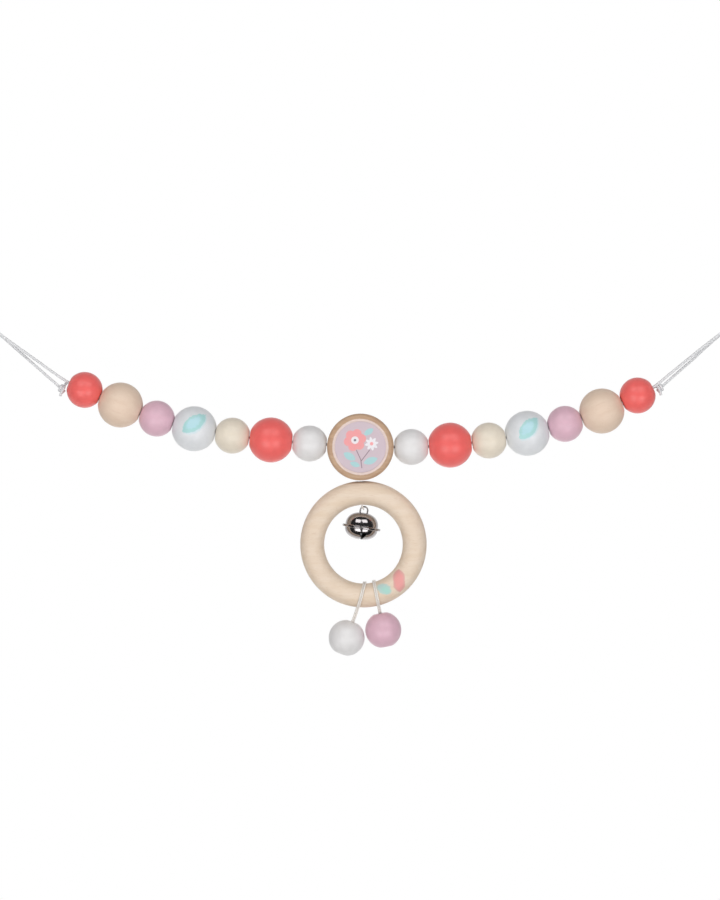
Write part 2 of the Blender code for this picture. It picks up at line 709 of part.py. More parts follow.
def build_pendant(name, ring_centre, loop_offset, lean_degrees, drop, colour, ring_pivot, cord):
    """A bead on a doubled cord that is slung over the ring, with its knot in the bead's foot."""
    centre_radius = ring_outer_diameter / 2 - ring_tube_diameter / 2
    hang = loop_offset / centre_radius - math.radians(ring_lean_degrees)
    lean = math.radians(lean_degrees - ring_lean_degrees)
    on_ring = (centre_radius * math.sin(hang), 0, ring_centre[2] - centre_radius * math.cos(hang))
    swing = pivot(f"{name}_swing", ring_pivot, on_ring, (0, -lean, 0))
    radius = cord_diameter / 2
    apart = radius + strand_gap / 2
    half_length = bead_length(small_bead_diameter, small_mouth_diameter) / 2
    roof = -drop - half_length + pendant_knot_recess_depth
    foot = roof + radius + apart
    mouth = -drop + half_length
    first, second = (pendant_strand(side, mouth, foot, apart, lean - hang) for side in (-1, 1))
    folds = [math.pi * (i + 1) / (pendant_fold_steps + 1) for i in range(pendant_fold_steps)]
    fold = [(-apart * math.cos(a), apart, foot - apart * math.sin(a)) for a in folds]
    tube(f"{name}_cord", np.vstack([first, fold, second[::-1]]), cord_diameter, cord, swing)
    bead = solid(f"{name}_bead",
                 spun(bead_profile(small_bead_diameter, small_mouth_diameter, bead_arc_steps),
                      bead_segments, closed=True),
                 finish(f"{name}_bead", colour, 0.45))
    place(bead, swing, (0, 0, -drop))
    deep = pendant_knot_recess_depth + cut_overrun
    drill(bead, f"{name}_knot_recess", pendant_knot_recess_diameter, deep,
          (0, 0, -drop - half_length + pendant_knot_recess_depth - deep / 2), (0, 0, 0))
    knot = overhand(roof - seat_gap - radius - overhand_half_height)
    print(f"{name}_knot least gap to itself in mm",
          round(least_gap(knot, cord_diameter, 5) * 1000, 2))
    tube(f"{name}_knot", knot, cord_diameter, cord, swing)


def main():
    """Clear the scene and build the toy."""
    for old in list(bpy.data.objects):
        bpy.data.objects.remove(old, do_unlink=True)
    left, left_mouth = walk_chain(left_chain, -1, chain_entry_rise_left, left_bead_gap)
    right, right_mouth = walk_chain(right_chain, 1, 0, right_bead_gap)
    tip = outside_point(left_mouth, -1, max(left_loop_route))
    toy = pivot("toy", None, -tip)
    build_beads(left + right, toy)
    build_elastic(left, right, left_mouth, right_mouth, toy)
    build_medallion(toy)
    cord = finish("hanging_cord", "#ebe6da", 0.75)
    build_upper_hanger(toy, cord)
    ring_pivot = pivot("ring_pivot", toy, (0, 0, -medallion_diameter / 2 - ring_drop_gap / 2),
                       (0, -math.radians(ring_lean_degrees), 0))
    ring_centre, ring_bottom = build_ring(ring_pivot, cord)
    build_bell(ring_pivot, ring_bottom, cord)
    build_pendant("white_pendant", ring_centre, white_loop_offset, white_lean_degrees,
                  white_drop, pale_grey, ring_pivot, cord)
    build_pendant("pink_pendant", ring_centre, pink_loop_offset, pink_lean_degrees,
                  pink_drop, pink, ring_pivot, cord)
    bpy.context.view_layer.update()


main()
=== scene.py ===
import json
import logging
import math
from dataclasses import dataclass, field
from enum import Enum
from typing import Any, Callable, Optional, Sequence

import bmesh
import bpy
import numpy as np
from mathutils import Matrix, Vector


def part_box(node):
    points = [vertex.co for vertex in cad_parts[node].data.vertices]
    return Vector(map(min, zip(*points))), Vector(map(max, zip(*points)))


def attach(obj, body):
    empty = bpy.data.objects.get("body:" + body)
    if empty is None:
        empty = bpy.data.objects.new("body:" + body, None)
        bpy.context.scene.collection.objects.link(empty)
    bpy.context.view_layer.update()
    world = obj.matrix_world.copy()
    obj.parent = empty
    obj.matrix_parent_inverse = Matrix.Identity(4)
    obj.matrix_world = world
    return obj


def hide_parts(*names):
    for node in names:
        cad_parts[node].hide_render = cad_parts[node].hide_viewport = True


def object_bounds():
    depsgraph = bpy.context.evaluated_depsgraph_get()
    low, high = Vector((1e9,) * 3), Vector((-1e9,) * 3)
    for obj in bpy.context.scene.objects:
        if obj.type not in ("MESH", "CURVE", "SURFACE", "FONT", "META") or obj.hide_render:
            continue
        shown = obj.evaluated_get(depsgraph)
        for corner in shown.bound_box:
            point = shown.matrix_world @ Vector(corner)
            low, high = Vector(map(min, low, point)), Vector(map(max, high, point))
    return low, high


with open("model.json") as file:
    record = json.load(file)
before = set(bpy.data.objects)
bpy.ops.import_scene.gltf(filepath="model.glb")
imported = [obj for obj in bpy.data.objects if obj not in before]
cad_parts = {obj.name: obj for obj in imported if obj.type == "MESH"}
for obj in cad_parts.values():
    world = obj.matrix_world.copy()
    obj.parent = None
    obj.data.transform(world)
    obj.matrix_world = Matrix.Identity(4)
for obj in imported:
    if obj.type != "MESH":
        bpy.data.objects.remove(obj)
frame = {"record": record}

Array = np.ndarray
Relief = Callable[[Array, Array], Array]
Point = tuple[float, float, float]
Pair = tuple[float, float]
Colour = tuple[float, ...]
Piece = bpy.types.Object
Material = bpy.types.Material
Tree = bpy.types.NodeTree
Node = bpy.types.Node
Socket = bpy.types.NodeSocket

CAD_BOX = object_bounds()
LOG = logging.getLogger("pram_chain")
MM = 0.001

# The share of a short side that a rounded corner may take.
CORNER_SHARE = 0.45
# Points on a curve between two of its route's points.
CURVE_STEPS = 96
# Sides of a cutting rod, and how far it runs past what it cuts.
ROD_SIDES = 72
OVERRUN = 0.001
# Edges that turn by more than this stay sharp, on most pieces and on cords.
SHARP_DEGREES = 35
CORD_SHARP_DEGREES = 80
# A rod nearer the frame's Y than this cosine is measured from X instead.
NEARLY_ALONG = 0.9
# Points this close are merged, and edges this short are dissolved.
MERGE_DISTANCE = 1e-7
SLIVER_DISTANCE = 1e-8

ACROSS = np.array([1.0, 0, 0])
BACKWARDS = np.array([0.0, 1, 0])

PHOTO_WIDTH_PX = 720
PHOTO_HEIGHT_PX = 900
PIXEL_MM = 0.555
MEDALLION_PX = (360.4, 447.0)


def linear(code: str) -> Colour:
    """Turns an sRGB hex colour to linear light.

    Args:
        code: the colour as "#rrggbb".

    Returns:
        Red, green, blue and an alpha of 1.
    """
    parts = [int(code[i:i + 2], 16) / 255 for i in (1, 3, 5)]
    red, green, blue = (c / 12.92 if c <= 0.04045 else ((c + 0.055) / 1.055) ** 2.4 for c in parts)
    return red, green, blue, 1.0


def set_inputs(tree: Tree, node: Node, inputs: dict[Any, Any]) -> None:
    """Sets or links a node's inputs.

    Args:
        tree: the node tree it is in.
        node: the node.
        inputs: each input's name or number, with its value or the socket linked to it.
    """
    for key, value in inputs.items():
        if isinstance(value, Socket):
            tree.links.new(value, node.inputs[key])
        else:
            node.inputs[key].default_value = value


def add_node(tree: Tree, kind: str, inputs: Optional[dict[Any, Any]] = None,
             **settings: Any) -> Node:
    """Adds a shader node.

    Args:
        tree: the node tree it goes into.
        kind: the node's type name.
        inputs: its inputs, as set_inputs takes them.
        settings: the node's own properties.

    Returns:
        The new node.
    """
    node = tree.nodes.new(kind)
    for name, value in settings.items():
        setattr(node, name, value)
    set_inputs(tree, node, inputs or {})
    return node


def unit(vector: Sequence[float]) -> Array:
    """The vector at length 1."""
    array = np.asarray(vector, float)
    return array / np.linalg.norm(array)


def arc(centre: Pair, radius: float, start: float, stop: float, count: int) -> Array:
    """Points on a circular arc, centre + radius (cos a, sin a), with a in degrees."""
    angles = np.radians(np.linspace(start, stop, count))
    return np.column_stack([centre[0] + radius * np.cos(angles),
                            centre[1] + radius * np.sin(angles)])


def soften(corners: Sequence[Pair], radius: float, count: int) -> Array:
    """Rounds the inner corners of an open outline.

    Each corner C becomes the curve (1-t)^2 A + 2t(1-t) C + t^2 B, where A and B lie on its two
    sides at the given distance, or at 0.45 of a side that is too short for it.

    Args:
        corners: the outline's points.
        radius: how far from each corner the rounding starts.
        count: points on each rounding.

    Returns:
        The rounded outline.
    """
    line = np.asarray(corners, float)
    before, here, after = line[:-2], line[1:-1], line[2:]
    back = before - here
    ahead = after - here
    back_length = np.linalg.norm(back, axis=1, keepdims=True)
    ahead_length = np.linalg.norm(ahead, axis=1, keepdims=True)
    first = here + back / back_length * np.minimum(radius, CORNER_SHARE * back_length)
    last = here + ahead / ahead_length * np.minimum(radius, CORNER_SHARE * ahead_length)
    t = np.linspace(0, 1, count)[None, :, None]
    curve = ((1 - t) ** 2 * first[:, None] + 2 * t * (1 - t) * here[:, None]
             + t ** 2 * last[:, None])
    return np.vstack([line[:1], curve.reshape(-1, 2), line[-1:]])


@dataclass(frozen=True)
class Placement:
    """Where a piece's own axes lie in the frame: its origin and its X and Z directions."""

    origin: Array
    x_axis: Array
    z_axis: Array

    @classmethod
    def upright(cls, origin: Sequence[float], along: Sequence[float]) -> "Placement":
        """Own Z runs along a direction in the toy's plane, and own Y stays the frame's Y."""
        z_axis = unit(along)
        return cls(np.asarray(origin, float), np.cross((0, 1, 0), z_axis), z_axis)

    @classmethod
    def facing_front(cls, origin: Sequence[float]) -> "Placement":
        """Own Z looks out of the toy's front, along the frame's -Y."""
        return cls(np.asarray(origin, float), np.array([1.0, 0, 0]), np.array([0, -1.0, 0]))

    def to_frame(self, points: Array) -> Array:
        """Points from the piece's own axes to the frame's."""
        y_axis = np.cross(self.z_axis, self.x_axis)
        return self.origin + points @ np.array([self.x_axis, y_axis, self.z_axis])

    def turn(self) -> tuple[float, float, float]:
        """The Euler angles that a Mapping node needs to read the piece's own axes."""
        y_axis = np.cross(self.z_axis, self.x_axis)
        return tuple(Matrix([self.x_axis, y_axis, self.z_axis]).to_euler())


def revolve(outline: Array, segments: int) -> Array:
    """Turns an outline about Z: (r, z) becomes (r cos a, r sin a, z) for a full circle of a.

    Args:
        outline: rows of radius and height.
        segments: steps round the circle.

    Returns:
        A grid of points, one row for each point of the outline.
    """
    angles = 2 * np.pi * np.arange(segments) / segments
    radius = outline[:, :1]
    height = np.broadcast_to(outline[:, 1:], (len(outline), segments))
    return np.stack([radius * np.cos(angles), radius * np.sin(angles), height], axis=2)


def sweep(path: Array, reference: Array, radius: float, sides: int,
          relief: Optional[Relief] = None) -> tuple[Array, Array]:
    """Carries a round section along a path and closes both ends with a dome.

    A point is path + r (cos a * side + sin a * up), where side is the reference without its
    part along the path, and up is the cross product of the path's direction and side. Over the
    last radius at each end, r falls as a quarter circle.

    Args:
        path: the centreline's points.
        reference: a direction, or one for each point, that the path never runs along.
        radius: the section's radius.
        sides: points round the section.
        relief: gives the radius's factor from the length along and the angle round.

    Returns:
        The grid of points, and the length along the path for each row.
    """
    along = np.gradient(path, axis=0)
    along /= np.linalg.norm(along, axis=1, keepdims=True)
    side = np.broadcast_to(reference, path.shape)
    side = side - np.sum(side * along, axis=1, keepdims=True) * along
    side /= np.linalg.norm(side, axis=1, keepdims=True)
    up = np.cross(along, side)
    walked = np.concatenate([[0], np.cumsum(np.linalg.norm(np.diff(path, axis=0), axis=1))])
    angles = 2 * np.pi * np.arange(sides) / sides
    near_end = np.minimum(walked, walked[-1] - walked)
    dome = np.sqrt(np.clip(1 - (1 - np.minimum(near_end / radius, 1)) ** 2, 0, 1))
    reach = radius * dome[:, None] * np.ones(sides)
    if relief is not None:
        reach = reach * relief(walked[:, None], angles[None, :])
    ring = (np.cos(angles)[None, :, None] * side[:, None]
            + np.sin(angles)[None, :, None] * up[:, None])
    return path[:, None] + reach[:, :, None] * ring, walked


def smooth_curve(points: Sequence[Sequence[float]], spacing: float) -> Array:
    """Evenly spaced points on the centripetal Catmull-Rom curve through the given points.

    Between p1 and p2 the curve blends the lines p0-p1, p1-p2 and p2-p3 twice, by a parameter
    that grows with the square root of each step.

    Args:
        points: the route's points.
        spacing: the wanted step along the curve.

    Returns:
        The curve's points, from the first to the last of the route.
    """
    route = np.asarray(points, float)
    route = np.vstack([2 * route[0] - route[1], route, 2 * route[-1] - route[-2]])
    knots = np.concatenate([[0], np.cumsum(np.linalg.norm(np.diff(route, axis=0), axis=1) ** 0.5)])
    t0, t1, t2, t3 = (knots[i:len(knots) - 3 + i, None, None] for i in range(4))
    p0, p1, p2, p3 = (route[i:len(route) - 3 + i, None, :] for i in range(4))
    t = t1 + (t2 - t1) * np.linspace(0, 1, CURVE_STEPS, endpoint=False)[None, :, None]
    a1 = ((t1 - t) * p0 + (t - t0) * p1) / (t1 - t0)
    a2 = ((t2 - t) * p1 + (t - t1) * p2) / (t2 - t1)
    a3 = ((t3 - t) * p2 + (t - t2) * p3) / (t3 - t2)
    b1 = ((t2 - t) * a1 + (t - t0) * a2) / (t2 - t0)
    b2 = ((t3 - t) * a2 + (t - t1) * a3) / (t3 - t1)
    fine = (((t2 - t) * b1 + (t - t1) * b2) / (t2 - t1)).reshape(-1, 3)
    return even_steps(np.vstack([fine, route[-2:-1]]), spacing)


def even_steps(points: Array, spacing: float) -> Array:
    """The same line with points at an even spacing, read off by the length along it.

    Args:
        points: the line's points.
        spacing: the wanted step, which changes a little so that the ends stay.

    Returns:
        The new points.
    """
    walked = np.concatenate([[0], np.cumsum(np.linalg.norm(np.diff(points, axis=0), axis=1))])
    wanted = np.linspace(0, walked[-1], max(2, round(walked[-1] / spacing) + 1))
    return np.column_stack([np.interp(wanted, walked, points[:, k]) for k in range(3)])


def grid_mesh(name: str, grid: Array, loop_rows: bool, rows: Optional[Array] = None,
              readings: Optional[dict[str, Array]] = None) -> Piece:
    """Makes a mesh from a grid of points that closes on itself across its columns.

    Each square of the grid is a face. Its UV is the share of the way round and the length in
    metres along, so that a pattern can follow the surface.

    Args:
        name: the piece's name.
        grid: points, rows by columns by 3.
        loop_rows: whether the last row joins the first as well.
        rows: the length along at each row.
        readings: a value for each point, stored under its name.

    Returns:
        The new object, linked to the scene.
    """
    count, sides = grid.shape[:2]
    lower = np.arange(count if loop_rows else count - 1)
    upper = (lower + 1) % count
    left = np.arange(sides)
    right = (left + 1) % sides
    faces = np.stack([lower[:, None] * sides + left, lower[:, None] * sides + right,
                      upper[:, None] * sides + right, upper[:, None] * sides + left], axis=2)
    mesh = bpy.data.meshes.new(name)
    mesh.vertices.add(count * sides)
    mesh.vertices.foreach_set("co", grid.astype(np.float32).ravel())
    total = len(lower) * sides
    mesh.loops.add(total * 4)
    mesh.loops.foreach_set("vertex_index", faces.astype(np.int32).ravel())
    mesh.polygons.add(total)
    mesh.polygons.foreach_set("loop_start", np.arange(0, total * 4, 4, dtype=np.int32))
    mesh.update(calc_edges=True)
    if rows is not None:
        shape = (len(lower), sides)
        low, high, start, stop = (
            np.broadcast_to(values, shape)
            for values in (rows[lower, None], rows[upper, None], left / sides, (left + 1) / sides))
        uv = np.stack([start, low, stop, low, stop, high, start, high], axis=2)
        mesh.uv_layers.new(name="along").data.foreach_set("uv", uv.astype(np.float32).ravel())
    for reading, values in (readings or {}).items():
        layer = mesh.attributes.new(reading, "FLOAT", "POINT")
        layer.data.foreach_set("value", values.astype(np.float32).ravel())
    piece = bpy.data.objects.new(name, mesh)
    bpy.context.scene.collection.objects.link(piece)
    return piece


def tidy_surface(piece: Piece, sharp_degrees: float = SHARP_DEGREES) -> None:
    """Merges the points at poles and seams, turns all faces outwards and shades smooth.

    Args:
        piece: the piece.
        sharp_degrees: edges that turn by more than this stay sharp.
    """
    made = bmesh.new()
    made.from_mesh(piece.data)
    bmesh.ops.remove_doubles(made, verts=made.verts[:], dist=MERGE_DISTANCE)
    bmesh.ops.dissolve_degenerate(made, edges=made.edges[:], dist=SLIVER_DISTANCE)
    bmesh.ops.recalc_face_normals(made, faces=made.faces[:])
    made.to_mesh(piece.data)
    made.free()
    piece.data.shade_smooth()
    piece.data.set_sharp_from_angle(angle=math.radians(sharp_degrees))


def cutting_rod(name: str, start: Array, stop: Array, radius: float) -> Piece:
    """A round rod that a hole is cut with.

    Args:
        name: the rod's name while it is there.
        start: the middle of one end.
        stop: the middle of the other.
        radius: the hole's radius.

    Returns:
        The rod.
    """
    direction = unit(stop - start)
    aside = BACKWARDS if abs(direction[1]) < NEARLY_ALONG else ACROSS
    side = unit(np.cross(aside, direction))
    up = np.cross(direction, side)
    angles = 2 * np.pi * np.arange(ROD_SIDES) / ROD_SIDES
    ring = radius * (np.cos(angles)[:, None] * side + np.sin(angles)[:, None] * up)
    grid = np.stack([start + 0 * ring, start + ring, stop + ring, stop + 0 * ring])
    rod = grid_mesh(name, grid, False)
    tidy_surface(rod)
    return rod


def cut_away(piece: Piece, cutters: Sequence[Piece]) -> None:
    """Takes the cutters out of a piece for good, and removes them.

    Args:
        piece: the piece.
        cutters: closed solids that cross its surface.
    """
    for cutter in cutters:
        step = piece.modifiers.new(cutter.name, "BOOLEAN")
        step.operation = "DIFFERENCE"
        step.solver = "EXACT"
        step.object = cutter
    graph = bpy.context.evaluated_depsgraph_get()
    finished = bpy.data.meshes.new_from_object(piece.evaluated_get(graph))
    piece.modifiers.clear()
    piece.data = finished
    for cutter in cutters:
        bpy.data.objects.remove(cutter, do_unlink=True)
    finished.shade_smooth()
    finished.set_sharp_from_angle(angle=math.radians(SHARP_DEGREES))


def fit(piece: Piece, body: str, node: str, finish: Material) -> Piece:
    """Gives a piece its finish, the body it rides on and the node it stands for.

    Args:
        piece: the finished piece.
        body: the body of the record that carries it.
        node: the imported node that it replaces.
        finish: its material.

    Returns:
        The same piece.
    """
    piece.data.materials.clear()
    piece.data.materials.append(finish)
    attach(piece, body)
    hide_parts(node)
    LOG.info("%s on %s: %d points", piece.name, body, len(piece.data.vertices))
    return piece


# Finishes

# Brush marks in the printed leaves are about 1.5 mm long. The range is the stretch of the
# noise that moves an ink's edge.
BRUSH_MARK_MM = 1.5
BRUSH_RANGE = (0.25, 0.75)
# The stretch of the fibres' noise that changes the shine, and the noise's own settings.
FIBRE_RANGE = (0.3, 0.7)
FIBRE_DETAIL = 3.0
FIBRE_ROUGHNESS = 0.55
# Ink is full where the wear noise is at the first value, and thinnest at the second.
WEAR_RANGE = (0.3, 0.75)
WORN_COVER = 0.8
# How far raised wood fibres stand out, in metres.
FIBRE_DEPTH = 0.00008
WHITE = (1.0, 1.0, 1.0, 1.0)


class Grain(Enum):
    """Which of a piece's own axes the wood's fibres run along."""

    BORE = (1.0, 1.0, 0.12)
    BOARD = (0.12, 1.0, 1.0)


@dataclass(frozen=True)
class Ink:
    """One printed colour, or a painted highlight laid the same way: the reading that measures its
    outline, its pigment and its brushwork.

    The soft edge is how far the colour fades over, and the brush how far its edge wanders.
    """

    reading: str
    colour: str
    soft_mm: float = 0.12
    brush_mm: float = 0.0


def new_material(name: str) -> tuple[Material, Tree, Node]:
    """Starts a material with nodes.

    Args:
        name: the material's name.

    Returns:
        The material, its node tree and its shader.
    """
    made = bpy.data.materials.new(name)
    made.use_nodes = True
    return made, made.node_tree, made.node_tree.nodes["Principled BSDF"]


def scaled(colour: Colour, factor: float) -> Colour:
    """A linear colour made lighter or darker by a factor, with no part over 1."""
    return tuple(min(1.0, c * factor) for c in colour[:3]) + (1.0,)


def noise(tree: Tree, cell_mm: float, detail: float = 2.0) -> Socket:
    """Noise in Object coordinates whose cells have the given size.

    Args:
        tree: the material's nodes.
        cell_mm: the size of one cell.
        detail: how many finer layers are added.

    Returns:
        The noise's value.
    """
    place = add_node(tree, "ShaderNodeTexCoord")
    return add_node(tree, "ShaderNodeTexNoise",
                    {"Vector": place.outputs["Object"], "Scale": 1 / (cell_mm * MM),
                     "Detail": detail}).outputs[0]


def combine(tree: Tree, operation: str, *values: Any) -> Socket:
    """The result of one mathematical operation on numbers or sockets."""
    return add_node(tree, "ShaderNodeMath", dict(enumerate(values)),
                    operation=operation).outputs[0]


def map_range(tree: Tree, value: Socket, source: Pair, target: Pair = (0.0, 1.0)) -> Socket:
    """Moves a value from one range to another and keeps it inside.

    Args:
        tree: the material's nodes.
        value: the value.
        source: the two ends of its range.
        target: what they become.

    Returns:
        The new value.
    """
    return add_node(tree, "ShaderNodeMapRange",
                    {"Value": value, "From Min": source[0], "From Max": source[1],
                     "To Min": target[0], "To Max": target[1]}).outputs[0]


def mix_colours(tree: Tree, share: Socket, first: Any, second: Any) -> Socket:
    """The first colour where the share is 0, passing to the second where it is 1."""
    return add_node(tree, "ShaderNodeMix", {"Factor": share, 6: first, 7: second},
                    data_type="RGBA").outputs[2]


def dress(tree: Tree, shader: Node, height: Socket, relief: float, depth: float,
          looks: dict[str, Any]) -> None:
    """Gives a shader its fine relief and its other inputs.

    Args:
        tree: the material's nodes.
        shader: the material's shader.
        height: the relief's height.
        relief: the relief's strength.
        depth: how deep it is, in metres.
        looks: the other inputs, as set_inputs takes them.
    """
    bump = add_node(tree, "ShaderNodeBump", {"Height": height, "Strength": relief,
                                             "Distance": depth})
    set_inputs(tree, shader, {**looks, "Normal": bump.outputs[0]})


def wood_fibres(tree: Tree, placement: Placement, grain: Grain, width_mm: float) -> Socket:
    """Noise that is fine across the fibres and long along them, in the piece's own axes.

    Args:
        tree: the material's nodes.
        placement: where the piece's own axes lie.
        grain: the axis that the fibres follow.
        width_mm: how wide one streak is.

    Returns:
        The noise's value.
    """
    place = add_node(tree, "ShaderNodeTexCoord")
    centred = add_node(tree, "ShaderNodeVectorMath", {0: place.outputs["Object"],
                                                      1: tuple(placement.origin)},
                       operation="SUBTRACT")
    turned = add_node(tree, "ShaderNodeMapping", {"Vector": centred.outputs[0],
                                                  "Rotation": placement.turn()})
    scale = 1 / (width_mm * MM)
    stretched = add_node(tree, "ShaderNodeVectorMath", {0: turned.outputs[0],
                                                        1: tuple(scale * s for s in grain.value)},
                         operation="MULTIPLY")
    return add_node(tree, "ShaderNodeTexNoise", {"Vector": stretched.outputs[0], "Scale": 1.0,
                                                 "Detail": FIBRE_DETAIL,
                                                 "Roughness": FIBRE_ROUGHNESS}).outputs[0]


def uneven_shine(tree: Tree, fibres: Socket, roughness: float, spread: Pair) -> Socket:
    """A roughness that goes from one end of its spread to the other with the fibres."""
    return map_range(tree, fibres, FIBRE_RANGE, (roughness + spread[0], roughness + spread[1]))


def print_inks(tree: Tree, ground: Socket, inks: Sequence[Ink], wear: Socket) -> Socket:
    """Lays each ink, and any painted highlight among them, over the ground where its reading is
    below zero.

    Args:
        tree: the material's nodes.
        ground: the colour under the print.
        inks: the printed colours, with any painted highlight, lowest first.
        wear: noise that thins the ink a little.

    Returns:
        The printed colour.
    """
    for ink in inks:
        reading = add_node(tree, "ShaderNodeAttribute", attribute_name=ink.reading).outputs["Fac"]
        if ink.brush_mm:
            stray = ink.brush_mm * MM
            wander = map_range(tree, noise(tree, BRUSH_MARK_MM), BRUSH_RANGE, (-stray, stray))
            reading = combine(tree, "ADD", reading, wander)
        half = ink.soft_mm * MM / 2
        mask = map_range(tree, reading, (half, -half))
        cover = map_range(tree, wear, WEAR_RANGE, (1.0, WORN_COVER))
        shown = combine(tree, "MULTIPLY", mask, cover)
        ground = mix_colours(tree, shown, ground, linear(ink.colour))
    return ground


@dataclass(frozen=True)
class AcrylicLacquerOnBeech:
    """Water-based satin lacquer sprayed on turned beech: even colour with the grain just felt."""

    name: str
    colour: str
    roughness: float = 0.33
    inks: tuple[Ink, ...] = ()
    fibre_mm: float = 0.7
    mottle_mm: float = 4.0
    fibre_share: float = 0.5
    lightest: float = 1.035
    deepest: float = 0.955
    tone_range: Pair = (0.5, 1.0)
    shine_spread: Pair = (-0.05, 0.07)
    relief: float = 0.18
    ior: float = 1.48

    def material(self, placement: Placement) -> Material:
        """Makes the lacquer.

        Args:
            placement: where the bead lies.

        Returns:
            The material.
        """
        made, tree, shader = new_material(self.name)
        # Raised fibres under the film read as faint streaks, and spray leaves a soft mottle.
        fibres = wood_fibres(tree, placement, Grain.BORE, self.fibre_mm)
        mottle = noise(tree, self.mottle_mm)
        tone = combine(tree, "MULTIPLY_ADD", fibres, self.fibre_share, mottle)
        base = linear(self.colour)
        film = mix_colours(tree, map_range(tree, tone, self.tone_range),
                           scaled(base, self.deepest), scaled(base, self.lightest))
        dress(tree, shader, fibres, self.relief, FIBRE_DEPTH,
              {"Base Color": print_inks(tree, film, self.inks, fibres), "IOR": self.ior,
               "Roughness": uneven_shine(tree, fibres, self.roughness, self.shine_spread)})
        return made


@dataclass(frozen=True)
class TurnedBeech:
    """Beech with a thin clear coat: pale pinkish tan, short darker ray flecks, soft bands.

    The bands are growth rings. Real ray flecks are 0.2 mm wide, and these are wider so that
    they show.
    """

    name: str
    colour: str
    streak: str
    fleck: str
    grain: Grain = Grain.BORE
    roughness: float = 0.5
    inks: tuple[Ink, ...] = ()
    band_mm: float = 3.2
    fleck_mm: float = 0.5
    fleck_share: float = 0.6
    band_range: Pair = (0.35, 0.65)
    fleck_range: Pair = (0.56, 0.72)
    shine_spread: Pair = (-0.06, 0.08)
    relief: float = 0.25
    ior: float = 1.5

    def material(self, placement: Placement) -> Material:
        """Makes the wood.

        Args:
            placement: where the piece lies.

        Returns:
            The material.
        """
        made, tree, shader = new_material(self.name)
        bands = wood_fibres(tree, placement, self.grain, self.band_mm)
        rays = wood_fibres(tree, placement, self.grain, self.fleck_mm)
        ground = mix_colours(tree, map_range(tree, bands, self.band_range),
                             linear(self.colour), linear(self.streak))
        dots = map_range(tree, rays, self.fleck_range, (0.0, self.fleck_share))
        flecked = mix_colours(tree, dots, ground, linear(self.fleck))
        dress(tree, shader, rays, self.relief, FIBRE_DEPTH,
              {"Base Color": print_inks(tree, flecked, self.inks, rays), "IOR": self.ior,
               "Roughness": uneven_shine(tree, rays, self.roughness, self.shine_spread)})
        return made


@dataclass(frozen=True)
class PrintedFilm:
    """Matt screen print on a lilac ground, whose ink lies a little uneven."""

    name: str
    colour: str
    inks: tuple[Ink, ...]
    uneven_mm: float = 0.625
    lightest: float = 1.03
    relief: float = 0.08
    depth: float = 0.00004
    roughness: float = 0.55
    ior: float = 1.46

    def material(self) -> Material:
        """Makes the print, which reads the outlines stored on its mesh.

        Returns:
            The material.
        """
        made, tree, shader = new_material(self.name)
        uneven = noise(tree, self.uneven_mm)
        base = linear(self.colour)
        ground = mix_colours(tree, uneven, base, scaled(base, self.lightest))
        dress(tree, shader, uneven, self.relief, self.depth,
              {"Base Color": print_inks(tree, ground, self.inks, uneven),
               "Roughness": self.roughness, "IOR": self.ior})
        return made


@dataclass(frozen=True)
class NickelPlate:
    """Bright nickel on stamped steel: a grey-brown mirror with the haze that handling leaves."""

    name: str
    colour: str
    roughness: float
    haze_mm: float = 2.5
    haze_range: Pair = (0.3, 0.75)
    dulled: float = 0.86
    haze_roughness: float = 0.1
    relief: float = 0.12
    depth: float = 0.00006

    def material(self) -> Material:
        """Makes the plated metal.

        Returns:
            The material.
        """
        made, tree, shader = new_material(self.name)
        haze = noise(tree, self.haze_mm, 4.0)
        base = linear(self.colour)
        tint = mix_colours(tree, haze, base, scaled(base, self.dulled))
        shine = map_range(tree, haze, self.haze_range,
                          (self.roughness, self.roughness + self.haze_roughness))
        dress(tree, shader, haze, self.relief, self.depth,
              {"Base Color": tint, "Roughness": shine, "Metallic": 1.0})
        return made


@dataclass(frozen=True)
class SpunYarn:
    """Pale polyester or cotton yarn: matt, with fibre shadow between the strands."""

    name: str
    colour: str
    shadow: str
    strands: int
    pitch_mm: float
    crossed: bool
    relief: float = 0.3
    depth: float = 0.0001
    shadow_range: Pair = (-1.0, 0.3)
    roughness: float = 0.85
    sheen: float = 0.25
    sheen_roughness: float = 0.5

    def material(self) -> Material:
        """Makes the yarn, whose strands follow the cord by its UV.

        The height is sin(n u + w), where n u goes round the cord and w along it. A braid has
        sin(n u + w) sin(n u - w).

        Returns:
            The material.
        """
        made, tree, shader = new_material(self.name)
        uv = add_node(tree, "ShaderNodeUVMap", uv_map="along")
        split = add_node(tree, "ShaderNodeSeparateXYZ", {0: uv.outputs[0]})
        round_it, along = split.outputs[0], split.outputs[1]
        turns = combine(tree, "MULTIPLY", along, 2 * math.pi / (self.pitch_mm * MM))
        windings = [turns]
        if self.crossed:
            windings.append(combine(tree, "MULTIPLY", turns, -1.0))
        waves = [combine(tree, "SINE", combine(tree, "MULTIPLY_ADD", round_it,
                                               2 * math.pi * self.strands, winding))
                 for winding in windings]
        height = combine(tree, "MULTIPLY", *waves) if self.crossed else waves[0]
        colour = mix_colours(tree, map_range(tree, height, self.shadow_range),
                             linear(self.shadow), linear(self.colour))
        dress(tree, shader, height, self.relief, self.depth,
              {"Base Color": colour, "Roughness": self.roughness, "Sheen Weight": self.sheen,
               "Sheen Roughness": self.sheen_roughness})
        return made


# Readings for prints


